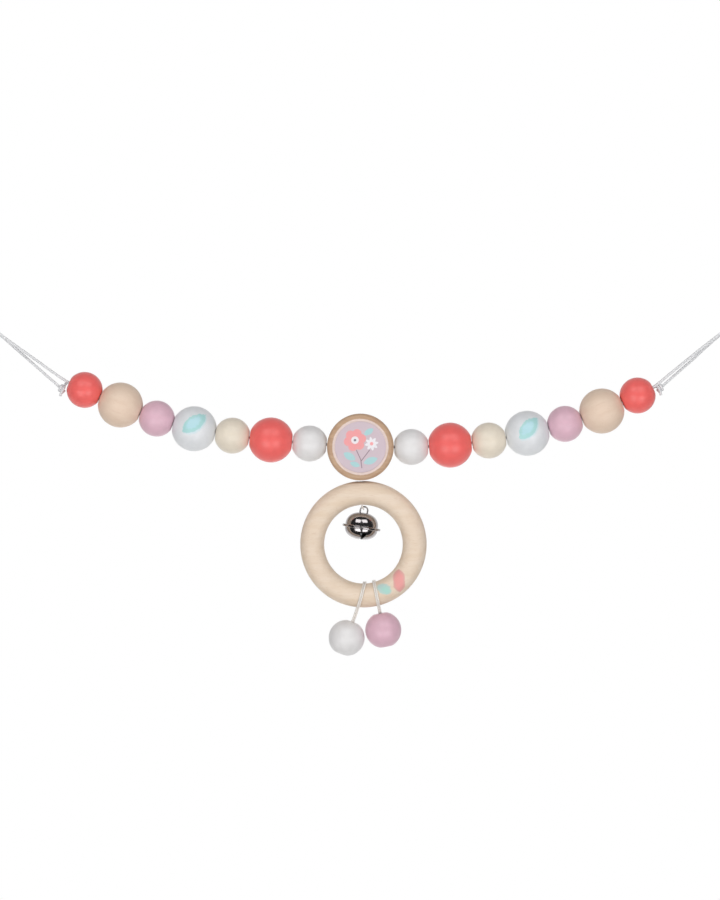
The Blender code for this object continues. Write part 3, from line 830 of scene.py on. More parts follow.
def leaf_reading(across: Array, up: Array, centre: Pair, length: float, width: float,
                 lean_degrees: float) -> Array:
    """How far each point lies outside a pointed leaf, below zero inside.

    The leaf is where two equal circles overlap: the reading is the larger distance to their
    centres less their radius (l^2 + w^2) / 2w, with l and w half the length and half the width.

    Args:
        across: each point's place across.
        up: each point's place upwards.
        centre: the leaf's middle.
        length: from tip to tip.
        width: across the middle.
        lean_degrees: how far it turns up from lying across.

    Returns:
        The reading at each point.
    """
    lean = math.radians(lean_degrees)
    x, z = across - centre[0], up - centre[1]
    along = x * math.cos(lean) + z * math.sin(lean)
    aside = -x * math.sin(lean) + z * math.cos(lean)
    half_length, half_width = length / 2, width / 2
    radius = (half_length ** 2 + half_width ** 2) / (2 * half_width)
    apart = radius - half_width
    return np.maximum(np.hypot(along, aside - apart), np.hypot(along, aside + apart)) - radius


def stroke_reading(across: Array, up: Array, start: Pair, stop: Pair, width: float) -> Array:
    """How far each point lies outside a straight stroke with round ends.

    Args:
        across: each point's place across.
        up: each point's place upwards.
        start: the middle of one end.
        stop: the middle of the other.
        width: the stroke's width.

    Returns:
        The reading at each point.
    """
    line = np.subtract(stop, start)
    across, up = across - start[0], up - start[1]
    share = np.clip((across * line[0] + up * line[1]) / (line @ line), 0, 1)
    return np.hypot(across - share * line[0], up - share * line[1]) - width / 2


def disc_reading(across: Array, up: Array, centre: Pair, radius: float) -> Array:
    """How far each point lies outside a disc."""
    return np.hypot(across - centre[0], up - centre[1]) - radius


JOINTS: dict[str, dict[str, Any]] = {j["name"]: j for j in frame["record"]["behaviour"]["joints"]}


def joint_place(name: str) -> Array:
    """A joint's point in the frame."""
    return np.array(JOINTS[name]["pos_m"], float)


def joint_axis(name: str) -> Array:
    """A joint's axis in the frame."""
    return unit(JOINTS[name]["axis"])


# Turned pieces

# A bead's diameter, and the diameter of the flat round its bore.
SMALL = (0.020, 0.0060)
LARGE = (0.025, 0.0073)
MOUTH_FILLET = 0.003
# The radius and the depth of the recess for the knot in a pendant's bead.
KNOT_RECESS = (0.0029, 0.0034)


def bead_length(diameter: float, mouth: float, fillet: float = MOUTH_FILLET) -> float:
    """A bead's length: the ball meets the fillet where the fillet ends in the mouth's flat."""
    return 2 * (math.sqrt((diameter / 2 - fillet) ** 2 - (mouth / 2) ** 2) + fillet)


@dataclass
class LeafPrint:
    """A mint leaf printed on a bead's front, placed from the bead's centre.

    A pale first coat shows along one side of it. A paler patch inside it is a painted highlight,
    where the bead's shine falls on the leaf.
    """

    centre: Pair
    length: float
    width: float
    lean_degrees: float
    ghost_shift: float = 0.0010
    # How far the painted highlight sits off the leaf's axis, and its size as a share of the leaf.
    highlight_shift: float = 0.0004
    highlight_share: float = 0.62

    def readings(self, points: Array, origin: Array) -> dict[str, Array]:
        """Reads the leaf, its first coat and its painted highlight, on the front half only.

        Args:
            points: the bead's points in the frame.
            origin: the bead's middle.

        Returns:
            Each reading under its name.
        """
        across, up = points[..., 0] - origin[0], points[..., 2] - origin[2]
        behind = np.where(points[..., 1] > origin[1], 1.0, 0.0)
        lean = math.radians(self.lean_degrees)
        shift = np.array([math.sin(lean), -math.cos(lean)])
        # The third coat is a painted highlight: a smaller, paler leaf inside the leaf.
        coats = {"leaf_ghost": (self.ghost_shift, 1.0), "leaf": (0.0, 1.0),
                 "leaf_painted_highlight": (-self.highlight_shift, self.highlight_share)}
        return {name: leaf_reading(across, up, self.centre + shift * aside, share * self.length,
                                   share * self.width, self.lean_degrees) + behind
                for name, (aside, share) in coats.items()}


@dataclass
class TurnedBead:
    """A wooden ball with flattened, eased mouths and a bore, as an automatic lathe turns it."""

    node: str
    slot: str
    finish: AcrylicLacquerOnBeech | TurnedBeech
    diameter: float
    mouth: float
    bore: float = 0.0036
    fillet: float = MOUTH_FILLET
    bore_ease: float = 0.0003
    leaf: Optional[LeafPrint] = None
    knot_recess: Optional[Pair] = None
    segments: int = 112
    ease_points: int = 5
    fillet_points: int = 10
    ball_points: int = 54

    @property
    def length(self) -> float:
        """The bead's length along its bore."""
        return bead_length(self.diameter, self.mouth, self.fillet)

    def outline(self) -> Array:
        """Half the bead's section: bore, eased edge, mouth, fillet, ball and the same again.

        Returns:
            Rows of radius and height.
        """
        radius, half = self.diameter / 2, self.length / 2
        height = half - self.fillet
        centre = math.sqrt((radius - self.fillet) ** 2 - height ** 2)
        start = math.degrees(math.atan2(height, centre))
        bore, ease = self.bore / 2, self.bore_ease
        upper = np.vstack([arc((bore + ease, half - ease), ease, 180, 90, self.ease_points),
                           arc((centre, height), self.fillet, 90, start, self.fillet_points)])
        ball = arc((0, 0), radius, start, -start, self.ball_points)[1:-1]
        lower = upper[::-1] * (1, -1)
        return np.vstack([upper, ball, lower])

    def build(self) -> Piece:
        """Builds the bead at its place, with its print's readings where it has one.

        Returns:
            The bead.
        """
        joint = f"{self.node}_spin"
        place = Placement.upright(joint_place(joint), joint_axis(joint))
        grid = place.to_frame(revolve(self.outline(), self.segments))
        readings = self.leaf.readings(grid, place.origin) if self.leaf else None
        piece = grid_mesh(f"turned_{self.node}", grid, True, readings=readings)
        tidy_surface(piece)
        if self.knot_recess:
            radius, depth = self.knot_recess
            foot = place.origin - place.z_axis * self.length / 2
            rod = cutting_rod("knot_recess", foot - place.z_axis * OVERRUN,
                              foot + place.z_axis * depth, radius)
            cut_away(piece, [rod])
        return fit(piece, self.node, self.node, self.finish.material(place))


@dataclass
class Medallion:
    """The turned disc with its recessed, printed face and its two bores."""

    centre: Array
    diameter: float = 0.0370
    thickness: float = 0.013
    edge: float = 0.00217
    bore: float = 0.0066
    print_diameter: float = 0.0283
    print_thickness: float = 0.0004
    side_gap: float = 0.00005
    seat: float = 0.0001
    recess: float = 0.0009
    bevel: float = 0.0012
    bare_radius: float = 0.0155
    recess_ease: float = 0.00025
    print_ease: float = 0.00008
    segments: int = 220
    print_segments: int = 240
    print_rings: int = 96

    def body(self, finish: TurnedBeech) -> Piece:
        """Turns the wooden disc: recess, bevel, rounded rim and back, with its two bores.

        Args:
            finish: the wood.

        Returns:
            The disc.
        """
        radius, half, edge = self.diameter / 2, self.thickness / 2, self.edge
        floor = self.print_diameter / 2 + self.side_gap
        recess = soften([(0, half - self.recess), (floor, half - self.recess),
                         (floor + self.bevel, half), (radius - edge, half)],
                        self.recess_ease, count=5)
        front = arc((radius - edge, half - edge), edge, 90, 0, count=14)
        back = front[::-1] * (1, -1)
        outline = np.vstack([recess, front[1:], back, [(0, -half)]])
        place = Placement.facing_front(self.centre)
        grid = place.to_frame(revolve(outline, self.segments))
        from_middle = np.hypot(grid[..., 0] - self.centre[0], grid[..., 2] - self.centre[2])
        behind = np.where(grid[..., 1] > self.centre[1], 1.0, 0.0)
        piece = grid_mesh("turned_medallion", grid, False,
                          readings={"bare_bevel": from_middle - self.bare_radius + behind})
        tidy_surface(piece)
        reach = np.array([self.diameter, 0, 0])
        down = np.array([0, 0, -self.diameter])
        cut_away(piece, [cutting_rod("cross_bore", self.centre - reach, self.centre + reach,
                                     self.bore / 2),
                         cutting_rod("hanger_hole", self.centre, self.centre + down,
                                     self.bore / 2)])
        return fit(piece, "medallion", "medallion_body",
                   finish.material(place))

    def print_readings(self, x: Array, z: Array) -> dict[str, Array]:
        """Outlines of a plain flower spray, from the disc's middle, in metres.

        The bloom is six round petals about a white eye, beside a daisy of eight narrow petals,
        with three strokes of stem and four leaves. The places and sizes are in millimetres.

        Args:
            x: each point's place across.
            z: each point's place upwards.

        Returns:
            Each outline's readings under its name.
        """
        x, z = x / MM, z / MM
        bloom, daisy = (-3.0, 3.8), (6.2, 1.8)
        petals = np.min([disc_reading(x, z, (bloom[0] + 3.7 * math.cos(t),
                                             bloom[1] + 3.7 * math.sin(t)), 2.55)
                         for t in np.radians(np.arange(6) * 60 + 12)], axis=0)
        rays = np.min([leaf_reading(x, z, (daisy[0] + 2.0 * math.cos(t),
                                           daisy[1] + 2.0 * math.sin(t)), 3.8, 1.7,
                                    math.degrees(t))
                       for t in np.radians(np.arange(8) * 45 + 10)], axis=0)
        stems = np.min([stroke_reading(x, z, (-2.2, -1.8), (0.2, -7.0), 0.5),
                        stroke_reading(x, z, (0.2, -7.0), (0.8, -11.6), 0.5),
                        stroke_reading(x, z, (5.0, -1.8), (0.4, -7.8), 0.5)], axis=0)
        leaves = np.min([leaf_reading(x, z, (-6.0, -5.2), 7.6, 3.9, 150),
                         leaf_reading(x, z, (5.6, -7.6), 8.2, 3.8, 20),
                         leaf_reading(x, z, (-3.0, -9.6), 5.8, 2.9, 160),
                         leaf_reading(x, z, (4.6, 8.4), 6.2, 3.1, 35)], axis=0)
        shapes = {"stems": stems, "leaves": leaves, "petals": petals, "rays": rays,
                  "eye": disc_reading(x, z, bloom, 2.1), "dot": disc_reading(x, z, bloom, 0.7),
                  "heart": disc_reading(x, z, daisy, 0.95)}
        return {name: reading * MM for name, reading in shapes.items()}

    def print_disc(self, finish: PrintedFilm) -> Piece:
        """Makes the printed face: a disc of even rings, with the spray's readings on its points.

        Args:
            finish: the print.

        Returns:
            The printed face.
        """
        radius = self.print_diameter / 2
        low = self.thickness / 2 - self.recess + self.seat
        high = low + self.print_thickness
        rings = np.linspace(0, radius - self.print_ease, self.print_rings)
        top = np.column_stack([rings, np.full(self.print_rings, high)])
        outline = np.vstack([top, [(radius, high - self.print_ease), (radius, low), (0, low)]])
        place = Placement.facing_front(self.centre)
        grid = place.to_frame(revolve(outline, self.print_segments))
        readings = self.print_readings(grid[..., 0] - self.centre[0],
                                       grid[..., 2] - self.centre[2])
        piece = grid_mesh("medallion_printed_face", grid, False, readings=readings)
        tidy_surface(piece)
        return fit(piece, "medallion", "medallion_print", finish.material())

    def build(self, wood: TurnedBeech, film: PrintedFilm) -> list[Piece]:
        """Both pieces of the medallion."""
        return [self.body(wood), self.print_disc(film)]


@dataclass
class WoodenRing:
    """The beech ring that everything below hangs from, printed with two small leaves."""

    outer: float = 0.07016
    tube: float = 0.0133
    hole: float = 0.0032
    drop_gap: float = 0.00044
    mint_place: Pair = (0.01150, -0.02460)
    mint_size: Pair = (0.0088, 0.0056)
    mint_lean: float = -20.0
    mint_core_shift: Pair = (0.0011, -0.0007)
    mint_core_share: Pair = (0.66, 0.62)
    coral_place: Pair = (0.01970, -0.02000)
    coral_size: Pair = (0.0127, 0.0064)
    coral_bulge: float = 0.0080
    coral_lean: float = 92.0
    coral_core_share: Pair = (0.90, 0.80)
    segments: int = 460
    sides: int = 96

    def centre(self) -> Array:
        """The ring's middle, below the hanger's pivot along its axis."""
        reach = self.drop_gap / 2 + self.outer / 2
        return joint_place("ring_twist") - reach * joint_axis("ring_twist")

    def readings(self, grid: Array, centre: Array) -> dict[str, Array]:
        """Reads the mint and the coral leaf with their cores, on the ring's front only.

        The coral leaf is a wide pointed leaf cut off at both sides, like a barrel.

        Args:
            grid: the ring's points in the frame.
            centre: the ring's middle.

        Returns:
            Each reading under its name.
        """
        x, z = grid[..., 0] - centre[0], grid[..., 2] - centre[2]
        behind = np.where(grid[..., 1] > centre[1], 1.0, 0.0)
        mint = leaf_reading(x, z, self.mint_place, *self.mint_size, self.mint_lean)
        mint_core = leaf_reading(x, z, np.add(self.mint_place, self.mint_core_shift),
                                 *np.multiply(self.mint_core_share, self.mint_size),
                                 self.mint_lean)
        lean = math.radians(self.coral_lean)
        aside = np.abs((x - self.coral_place[0]) * math.sin(lean)
                       - (z - self.coral_place[1]) * math.cos(lean)) - self.coral_size[1] / 2
        coral = np.maximum(aside, leaf_reading(x, z, self.coral_place, self.coral_size[0],
                                               self.coral_bulge, self.coral_lean))
        coral_core = leaf_reading(x, z, self.coral_place,
                                  *np.multiply(self.coral_core_share, self.coral_size),
                                  self.coral_lean)
        shapes = {"mint_leaf": mint, "mint_core": mint_core, "coral_leaf": coral,
                  "coral_core": coral_core}
        return {name: reading + behind for name, reading in shapes.items()}

    def build(self, finish: TurnedBeech) -> Piece:
        """Builds the ring: the tube's circle carried round a circle, with its cord hole cut.

        Args:
            finish: the wood.

        Returns:
            The ring.
        """
        tube_radius = self.tube / 2
        middle = self.outer / 2 - tube_radius
        outline = arc((middle, 0), tube_radius, 0, 360, self.sides + 1)[:-1]
        centre = self.centre()
        down = -joint_axis("ring_twist")
        front = np.array([0, -1.0, 0])
        place = Placement(centre, np.cross(front, down), front)
        grid = place.to_frame(revolve(outline, self.segments))
        piece = grid_mesh("turned_ring", grid, True, readings=self.readings(grid, centre))
        tidy_surface(piece)
        top = centre - down * (self.outer / 2 + OVERRUN)
        cut_away(piece, [cutting_rod("cord_hole", top, top + down * (self.tube + 2 * OVERRUN),
                                     self.hole / 2)])
        return fit(piece, "ring", "wooden_ring", finish.material(place))


# Jingle bell


@dataclass
class JingleBell:
    """A stamped two-shell bell: rolled seam, slit with round ends, wire bail and a loose ball."""

    diameter: float = 0.0183
    upper_height: float = 0.0083
    lower_height: float = 0.0068
    wall: float = 0.0004
    crimp_gap: float = 0.00012
    flange: float = 0.0213
    lip: float = 0.0010
    roundness: float = 2.3
    slot_width: float = 0.0017
    slot_reach: float = 0.0079
    slot_end: float = 0.0034
    slot_depth: float = 0.0038
    slot_turn: float = 11.0
    wire: float = 0.0009
    arch: float = 0.00203
    leg_rise: float = 0.0012
    contact_degrees: float = 33.0
    hole_gap: float = 0.00015
    foot: float = 0.0013
    seat: float = 0.0003
    ball: float = 0.0055
    flange_ease: float = 0.0006
    brim_ease: float = 0.00012
    foot_bend: float = 0.0007
    wire_step: float = 0.00012
    wire_sides: int = 28
    sharp_degrees: float = 50
    segments: int = 180
    ball_segments: int = 64
    ball_points: int = 40
    place: Placement = field(init=False)

    def __post_init__(self) -> None:
        """Works out the seam's place from the point where the bail hangs on the cord."""
        contact = math.radians(self.contact_degrees)
        along = joint_axis("clapper_slide")
        held = np.array([-self.arch * math.sin(contact), 0,
                         self.upper_height + self.leg_rise + self.arch * math.cos(contact)])
        turned = Placement.upright((0, 0, 0), along).to_frame(held[None])[0]
        self.place = Placement.upright(joint_place("bell_swing") - turned, along)

    def dome(self, radius: float, height: float, count: int = 34) -> Array:
        """A flattened quarter outline: r = R cos^p a, z = H sin^p a, from the crown to the rim.

        Args:
            radius: R, the radius at the rim.
            height: H, the height of the crown.
            count: how many points.

        Returns:
            Rows of radius and height.
        """
        angles = np.linspace(math.pi / 2, 0, count)
        power = 2 / self.roundness
        cosine = np.clip(np.cos(angles), 0, 1)
        cosine[0] = 0
        return np.column_stack([radius * cosine ** power,
                                height * np.clip(np.sin(angles), 0, 1) ** power])

    def dome_height(self, at_radius: float, radius: float, height: float) -> float:
        """The height of that outline at a distance from the axis."""
        return height * (1 - (at_radius / radius) ** self.roundness) ** (1 / self.roundness)

    def shell(self, name: str, outline: Array) -> Piece:
        """Turns a shell from its outline and sets it at the bell's place.

        Args:
            name: the piece's name.
            outline: rows of radius and height.

        Returns:
            The shell.
        """
        piece = grid_mesh(name, self.place.to_frame(revolve(outline, self.segments)), False)
        tidy_surface(piece, self.sharp_degrees)
        return piece

    def upper_outline(self) -> Array:
        """Crown, flange, roll under the lower brim, and the inside back to the axis.

        Returns:
            Rows of radius and height.
        """
        radius, wall = self.diameter / 2, self.wall
        roll = wall / 2 + self.crimp_gap
        flange = self.flange / 2
        lip = flange - wall - self.lip
        rise = self.upper_height - roll - wall
        outside = self.dome(radius, rise) + (0, roll + wall)
        inside = self.dome(radius - wall, rise) + (0, roll)
        edge = soften([tuple(outside[-2]), tuple(outside[-1]), (flange, roll + wall),
                       (flange, -roll - wall), (lip, -roll - wall), (lip, -roll),
                       (flange - wall, -roll), (flange - wall, roll), tuple(inside[-1])],
                      self.flange_ease, count=9)
        return np.vstack([outside[:-2], edge, inside[::-1][1:]])

    def lower_outline(self) -> Array:
        """The lower shell: its outside, the flat brim inside the roll, and its inside.

        Returns:
            Rows of radius and height.
        """
        radius, wall = self.diameter / 2, self.wall
        brim = wall / 2
        outer = self.dome(radius, self.lower_height - brim) * (1, -1) - (0, brim)
        inner = self.dome(radius - wall, self.lower_height + brim - wall) * (1, -1) + (0, brim)
        reach = self.flange / 2 - wall - self.crimp_gap
        edge = soften([tuple(outer[-2]), tuple(outer[-1]), (reach, -brim), (reach, brim),
                       tuple(inner[-1])], self.brim_ease, count=4)
        return np.vstack([outer[:-2], edge, inner[::-1][1:]])

    def slot_cutters(self) -> list[Piece]:
        """Makes the slit's flat cutter and the rod for the hole at each of its ends.

        Returns:
            The three cutters.
        """
        turn = math.radians(self.slot_turn)
        along = np.array([-math.sin(turn), math.cos(turn), 0])
        across = np.array([math.cos(turn), math.sin(turn), 0])
        top = -self.lower_height + self.slot_depth
        bottom = -self.lower_height - 2 * OVERRUN
        half = self.slot_width / 2 * across
        reach = along * self.slot_reach
        corners = np.array([reach + half, -reach + half, -reach - half, reach - half])
        levels = np.stack([np.zeros((4, 3)) + (0, 0, bottom), corners + (0, 0, bottom),
                           corners + (0, 0, top), np.zeros((4, 3)) + (0, 0, top)])
        slit = grid_mesh("bell_slit", self.place.to_frame(levels), False)
        tidy_surface(slit)
        rods = [slit]
        for side in (-1, 1):
            ends = np.array([side * reach + (0, 0, z) for z in (bottom, top)])
            start, stop = self.place.to_frame(ends)
            rods.append(cutting_rod(f"slit_end_{side + 2}", start, stop, self.slot_end / 2))
        return rods

    def bail_path(self) -> Array:
        """The bent wire: a half circle on two legs, and both feet turned out under the crown.

        Returns:
            The wire's centreline in the frame.
        """
        crown, reach, wire = self.upper_height, self.arch + self.foot, self.wire / 2
        inside = self.dome_height(reach, self.diameter / 2 - self.wall, crown - self.wall)
        low, high = inside - self.seat - wire, crown + self.leg_rise
        bow = arc((0, high), self.arch, 0, 180, count=40)
        leg = soften([(reach, low), (self.arch, low), (self.arch, high)], self.foot_bend,
                     count=10)
        flat = np.vstack([leg[:-1], bow, (leg[:-1] * (-1, 1))[::-1]])
        points = np.column_stack([flat[:, 0], np.zeros(len(flat)), flat[:, 1]])
        return self.place.to_frame(even_steps(points, self.wire_step))

    def build(self, plate: NickelPlate, wire: NickelPlate, steel: NickelPlate) -> list[Piece]:
        """Builds the bell.

        Args:
            plate: the shells' metal.
            wire: the bail's metal.
            steel: the ball's metal.

        Returns:
            The two shells, the bail and the ball.
        """
        finish = plate.material()
        top = self.shell("bell_upper_dome", self.upper_outline())
        holes = []
        for side in (-1, 1):
            ends = np.array([(side * self.arch, 0, self.upper_height + past)
                             for past in (-2 * OVERRUN, 2 * OVERRUN)])
            holes.append(cutting_rod(f"bail_hole_{side + 2}", *self.place.to_frame(ends),
                                     self.wire / 2 + self.hole_gap))
        cut_away(top, holes)
        bottom = self.shell("bell_lower_dome", self.lower_outline())
        cut_away(bottom, self.slot_cutters())
        grid, rows = sweep(self.bail_path(), BACKWARDS, self.wire / 2, self.wire_sides)
        bail = grid_mesh("bell_wire_bail", grid, False, rows)
        tidy_surface(bail)
        rest = -self.lower_height + self.wall + self.seat + self.ball / 2
        half_circle = arc((0, rest), self.ball / 2, 90, -90, self.ball_points)
        ball = grid_mesh("bell_steel_ball", self.place.to_frame(
            revolve(half_circle, self.ball_segments)), False)
        tidy_surface(ball)
        return [fit(top, "bell", "bell_top_shell", finish),
                fit(bottom, "bell", "bell_bottom_shell", finish),
                fit(bail, "bell", "bell_bail", wire.material()),
                fit(ball, "clapper", "bell_clapper", steel.material())]


# Cords


@dataclass(frozen=True)
class CordShape:
    """A cord's thickness and the relief of its strands."""

    diameter: float
    strands: int
    pitch: float
    depth: float
    crossed: bool

    def relief(self, along: Array, angle: Array) -> Array:
        """The radius's factor: 1 less a groove between strands that wind round the cord.

        A twisted cord has 1 - d (1 - |cos(n a / 2 + pi s / p)|). A braided one has 1 - d (1 -
        cos u cos v) / 2, where u and v wind opposite ways.

        Args:
            along: the length along the cord.
            angle: the angle round it.

        Returns:
            The factor at each point.
        """
        winding = 2 * np.pi * along / self.pitch
        if self.crossed:
            weave = np.cos(self.strands * angle + winding) * np.cos(self.strands * angle - winding)
            return 1 - self.depth * (1 - weave) / 2
        return 1 - self.depth * (1 - np.abs(np.cos(self.strands * angle / 2 + winding / 2)))

    def make(self, name: str, path: Array, reference: Array, sides: int = 24) -> Piece:
        """Makes the cord as one closed tube along a path.

        Args:
            name: the piece's name.
            path: the centreline's points.
            reference: a direction, or one for each point, that the path never runs along.
            sides: points round the cord.

        Returns:
            The cord.
        """
        grid, rows = sweep(path, reference, self.diameter / 2, sides, self.relief)
        piece = grid_mesh(name, grid, False, rows)
        tidy_surface(piece, CORD_SHARP_DEGREES)
        return piece


@dataclass
class ElasticEnd:
    """One end of the chain: the loop of elastic, and the knot that ties it under the bead.

    The tip is the number of the route's point that the loop's plane is read from.
    """

    side: int
    name: str
    bead: str
    loop: tuple[Point, ...]
    tie: tuple[Point, ...]
    tail: tuple[Point, ...]
    knot: Point
    shape: CordShape
    bead_length: float = bead_length(*SMALL)
    joint_depth: float = 0.0015
    seat: float = 0.0003
    spacing: float = 0.00155
    wrap_turns: float = 2.0
    wrap_points: int = 19
    tip: int = 9
    loop_step: float = 0.0002
    knot_step: float = 0.00016
    cord_step: float = 0.0012

    def outwards(self) -> Array:
        """The way that the end bead's bore points out of the toy."""
        return joint_axis(f"{self.bead}_spin")

    def mouth(self) -> Array:
        """The middle of the end bead's outer mouth."""
        return joint_place(f"{self.bead}_spin") + self.outwards() * self.bead_length / 2

    def offset(self) -> Array:
        """Half the distance between the two strands."""
        return np.array([0, self.spacing / 2, 0])

    def outside(self, points: Sequence[Point]) -> Array:
        """Route points from (outwards, upwards, backwards) offsets to the frame."""
        table = np.asarray(points, float)
        return self.mouth() + np.column_stack([self.side * table[:, 0], table[:, 2], table[:, 1]])

    def loop_route(self) -> Array:
        """The loop's route points: out of the mouth, round its tip and back to the knot."""
        start = self.mouth() - self.outwards() * (self.joint_depth - self.seat) - self.offset()
        return np.vstack([start, self.outside(self.loop)])

    def knot_path(self, along: Array) -> tuple[Array, Array]:
        """Two turns round the loop's end, and the cut tail: a helix of the strands' own spacing.

        Args:
            along: the helix's axis.

        Returns:
            The knot's centreline, and each point's way out from the axis.
        """
        across = np.cross(along, BACKWARDS) * self.side
        turn = np.linspace(0, self.wrap_turns, self.wrap_points)[:, None]
        angle = 2 * np.pi * turn
        middle = self.outside([self.knot])[0]
        coil = (middle + along * self.spacing * (self.wrap_turns / 2 - turn)
                + self.spacing * (BACKWARDS * np.cos(angle) + across * np.sin(angle)))
        path = smooth_curve(np.vstack([coil, self.outside(self.tail)]), self.knot_step)
        out = path - middle
        return path, out - (out @ along)[:, None] * along

    def build(self, finish: Material) -> list[Piece]:
        """Builds the loop and its knot.

        Args:
            finish: the elastic's material.

        Returns:
            The loop and the knot.
        """
        route = self.loop_route()
        path = smooth_curve(route, self.loop_step)
        flat = unit(np.cross(unit(route[self.tip] - route[0]), (0, 1.0, 0)))
        loop = self.shape.make(f"{self.name}_elastic_loop", path, flat)
        fit(loop, "chain_cord", f"{self.name}_loop_elastic", finish)
        knot = self.shape.make(f"{self.name}_elastic_knot",
                               *self.knot_path(unit(route[-2] - route[-1])))
        fit(knot, "chain_cord", f"{self.name}_knot", finish)
        return [loop, knot]


@dataclass
class ThreadedElastic:
    """The two strands that run through all the beads and the medallion."""

    left: ElasticEnd
    right: ElasticEnd
    beads: tuple[str, ...]
    shape: CordShape
    rise: float = 0.0011
    step: float = 0.0005
    sides: int = 16

    def build(self, centre: Array, finish: Material) -> list[Piece]:
        """Builds both strands, through each bead's middle, the back one out to the knots.

        Args:
            centre: the medallion's middle.
            finish: the elastic's material.

        Returns:
            The front and the back strand.
        """
        inner = [joint_place(f"{bead}_spin") for bead in self.beads]
        inner.insert(len(inner) // 2, centre + np.array([0, 0, self.rise / 2]))
        ends = [end.mouth() - end.outwards() * end.joint_depth for end in (self.left, self.right)]
        middle = np.vstack([ends[0], inner, ends[1]])
        offset = self.left.offset()
        back = np.vstack([self.left.outside(self.left.tie[::-1]), middle + offset,
                          self.right.outside(self.right.tie)])
        made = []
        for name, route in (("front", middle - offset), ("back", back)):
            piece = self.shape.make(f"threaded_elastic_{name}", smooth_curve(route, self.step),
                                    BACKWARDS, self.sides)
            made.append(fit(piece, "chain_cord", f"main_elastic_{name}", finish))
        return made


@dataclass
class Hanger:
    """The closed loop of cord from the elastic, through the ring, to the bell's bail."""

    centre: Array
    shape: CordShape
    elastic: float = 0.0015
    strand_gap: float = 0.0002
    seat: float = 0.0003
    rise: float = ThreadedElastic.rise
    disc: float = Medallion.diameter
    bore: float = Medallion.bore
    drop_gap: float = 0.0004
    flex_gap: float = 0.0004
    tube: float = WoodenRing.tube
    wire: float = JingleBell.wire
    loop_gap: float = 0.0004
    swell_share: float = 0.93
    swell_height_share: float = 0.55
    step: float = 0.0002
    bend_step: float = 0.00012

    def leg(self) -> float:
        """Each leg's distance in front of or behind the loop's middle."""
        return self.shape.diameter / 2 + self.strand_gap / 2 + self.seat / 2

    def upper(self) -> Array:
        """Round both elastic strands in the medallion, as part of a circle, and down both legs.

        Returns:
            The route's points.
        """
        radius = self.elastic + self.strand_gap / 2 + self.seat + self.shape.diameter / 2
        middle, leg = self.rise / 2, self.leg()
        foot = -self.disc / 2 - self.drop_gap / 2 + self.flex_gap / 2
        crown = arc((0, middle), radius, -30, 90, count=5)
        half = np.vstack([[(leg, foot), (leg, foot / 2), (leg, -self.bore)], crown[:-1]])
        flat = np.vstack([half * (-1, 1), crown[-1:], half[::-1]])
        return self.centre + np.column_stack([np.zeros(len(flat)), flat])

    def lower(self) -> Array:
        """The U under the ring that the bail hangs in, square to the bail's wire.

        Returns:
            The route's points.
        """
        start = joint_place("bell_side_swing")
        hung = start - joint_place("bell_swing")
        drop = float(np.linalg.norm(hung))
        round_wire = self.wire / 2 + self.loop_gap + self.shape.diameter / 2
        corner = round_wire * math.sqrt(0.5)
        half = np.array([(self.leg(), -self.flex_gap / 2),
                         (round_wire * self.swell_share, -self.swell_height_share * drop),
                         (round_wire, -drop), (corner, -drop - corner)])
        flat = np.vstack([half * (-1, 1), [(0, -drop - round_wire)], half[::-1]])
        points = np.column_stack([np.zeros(len(flat)), flat])
        return Placement.upright(start, hung).to_frame(points)

    def legs(self) -> list[Array]:
        """The two straight runs through the ring's hole.

        Returns:
            The front and the back run's points.
        """
        start, down = joint_place("ring_twist"), -joint_axis("ring_twist")
        reach = np.array([self.flex_gap / 2, self.drop_gap / 2 + self.tube - self.flex_gap / 2])
        runs = []
        for side in (-1, 1):
            ends = start + reach[:, None] * down + np.array([0, side * self.leg(), 0])
            runs.append(even_steps(ends, self.step))
        return runs

    def build(self, finish: Material) -> list[Piece]:
        """Builds the loop.

        Args:
            finish: the cord's material.

        Returns:
            The piece in the medallion, the one round the bail, and both legs.
        """
        pieces = [("hanger_cord_in_medallion", smooth_curve(self.upper(), self.step),
                   "medallion", "hanger_upper_cord"),
                  ("hanger_cord_round_bail", smooth_curve(self.lower(), self.bend_step),
                   "bell_loop", "bell_loop_cord")]
        for name, path in zip(("front", "back"), self.legs()):
            pieces.append((f"hanger_cord_{name}_leg", path, "hanger", f"hanger_{name}_leg"))
        return [fit(self.shape.make(name, path, ACROSS), body, node, finish)
                for name, path, body, node in pieces]


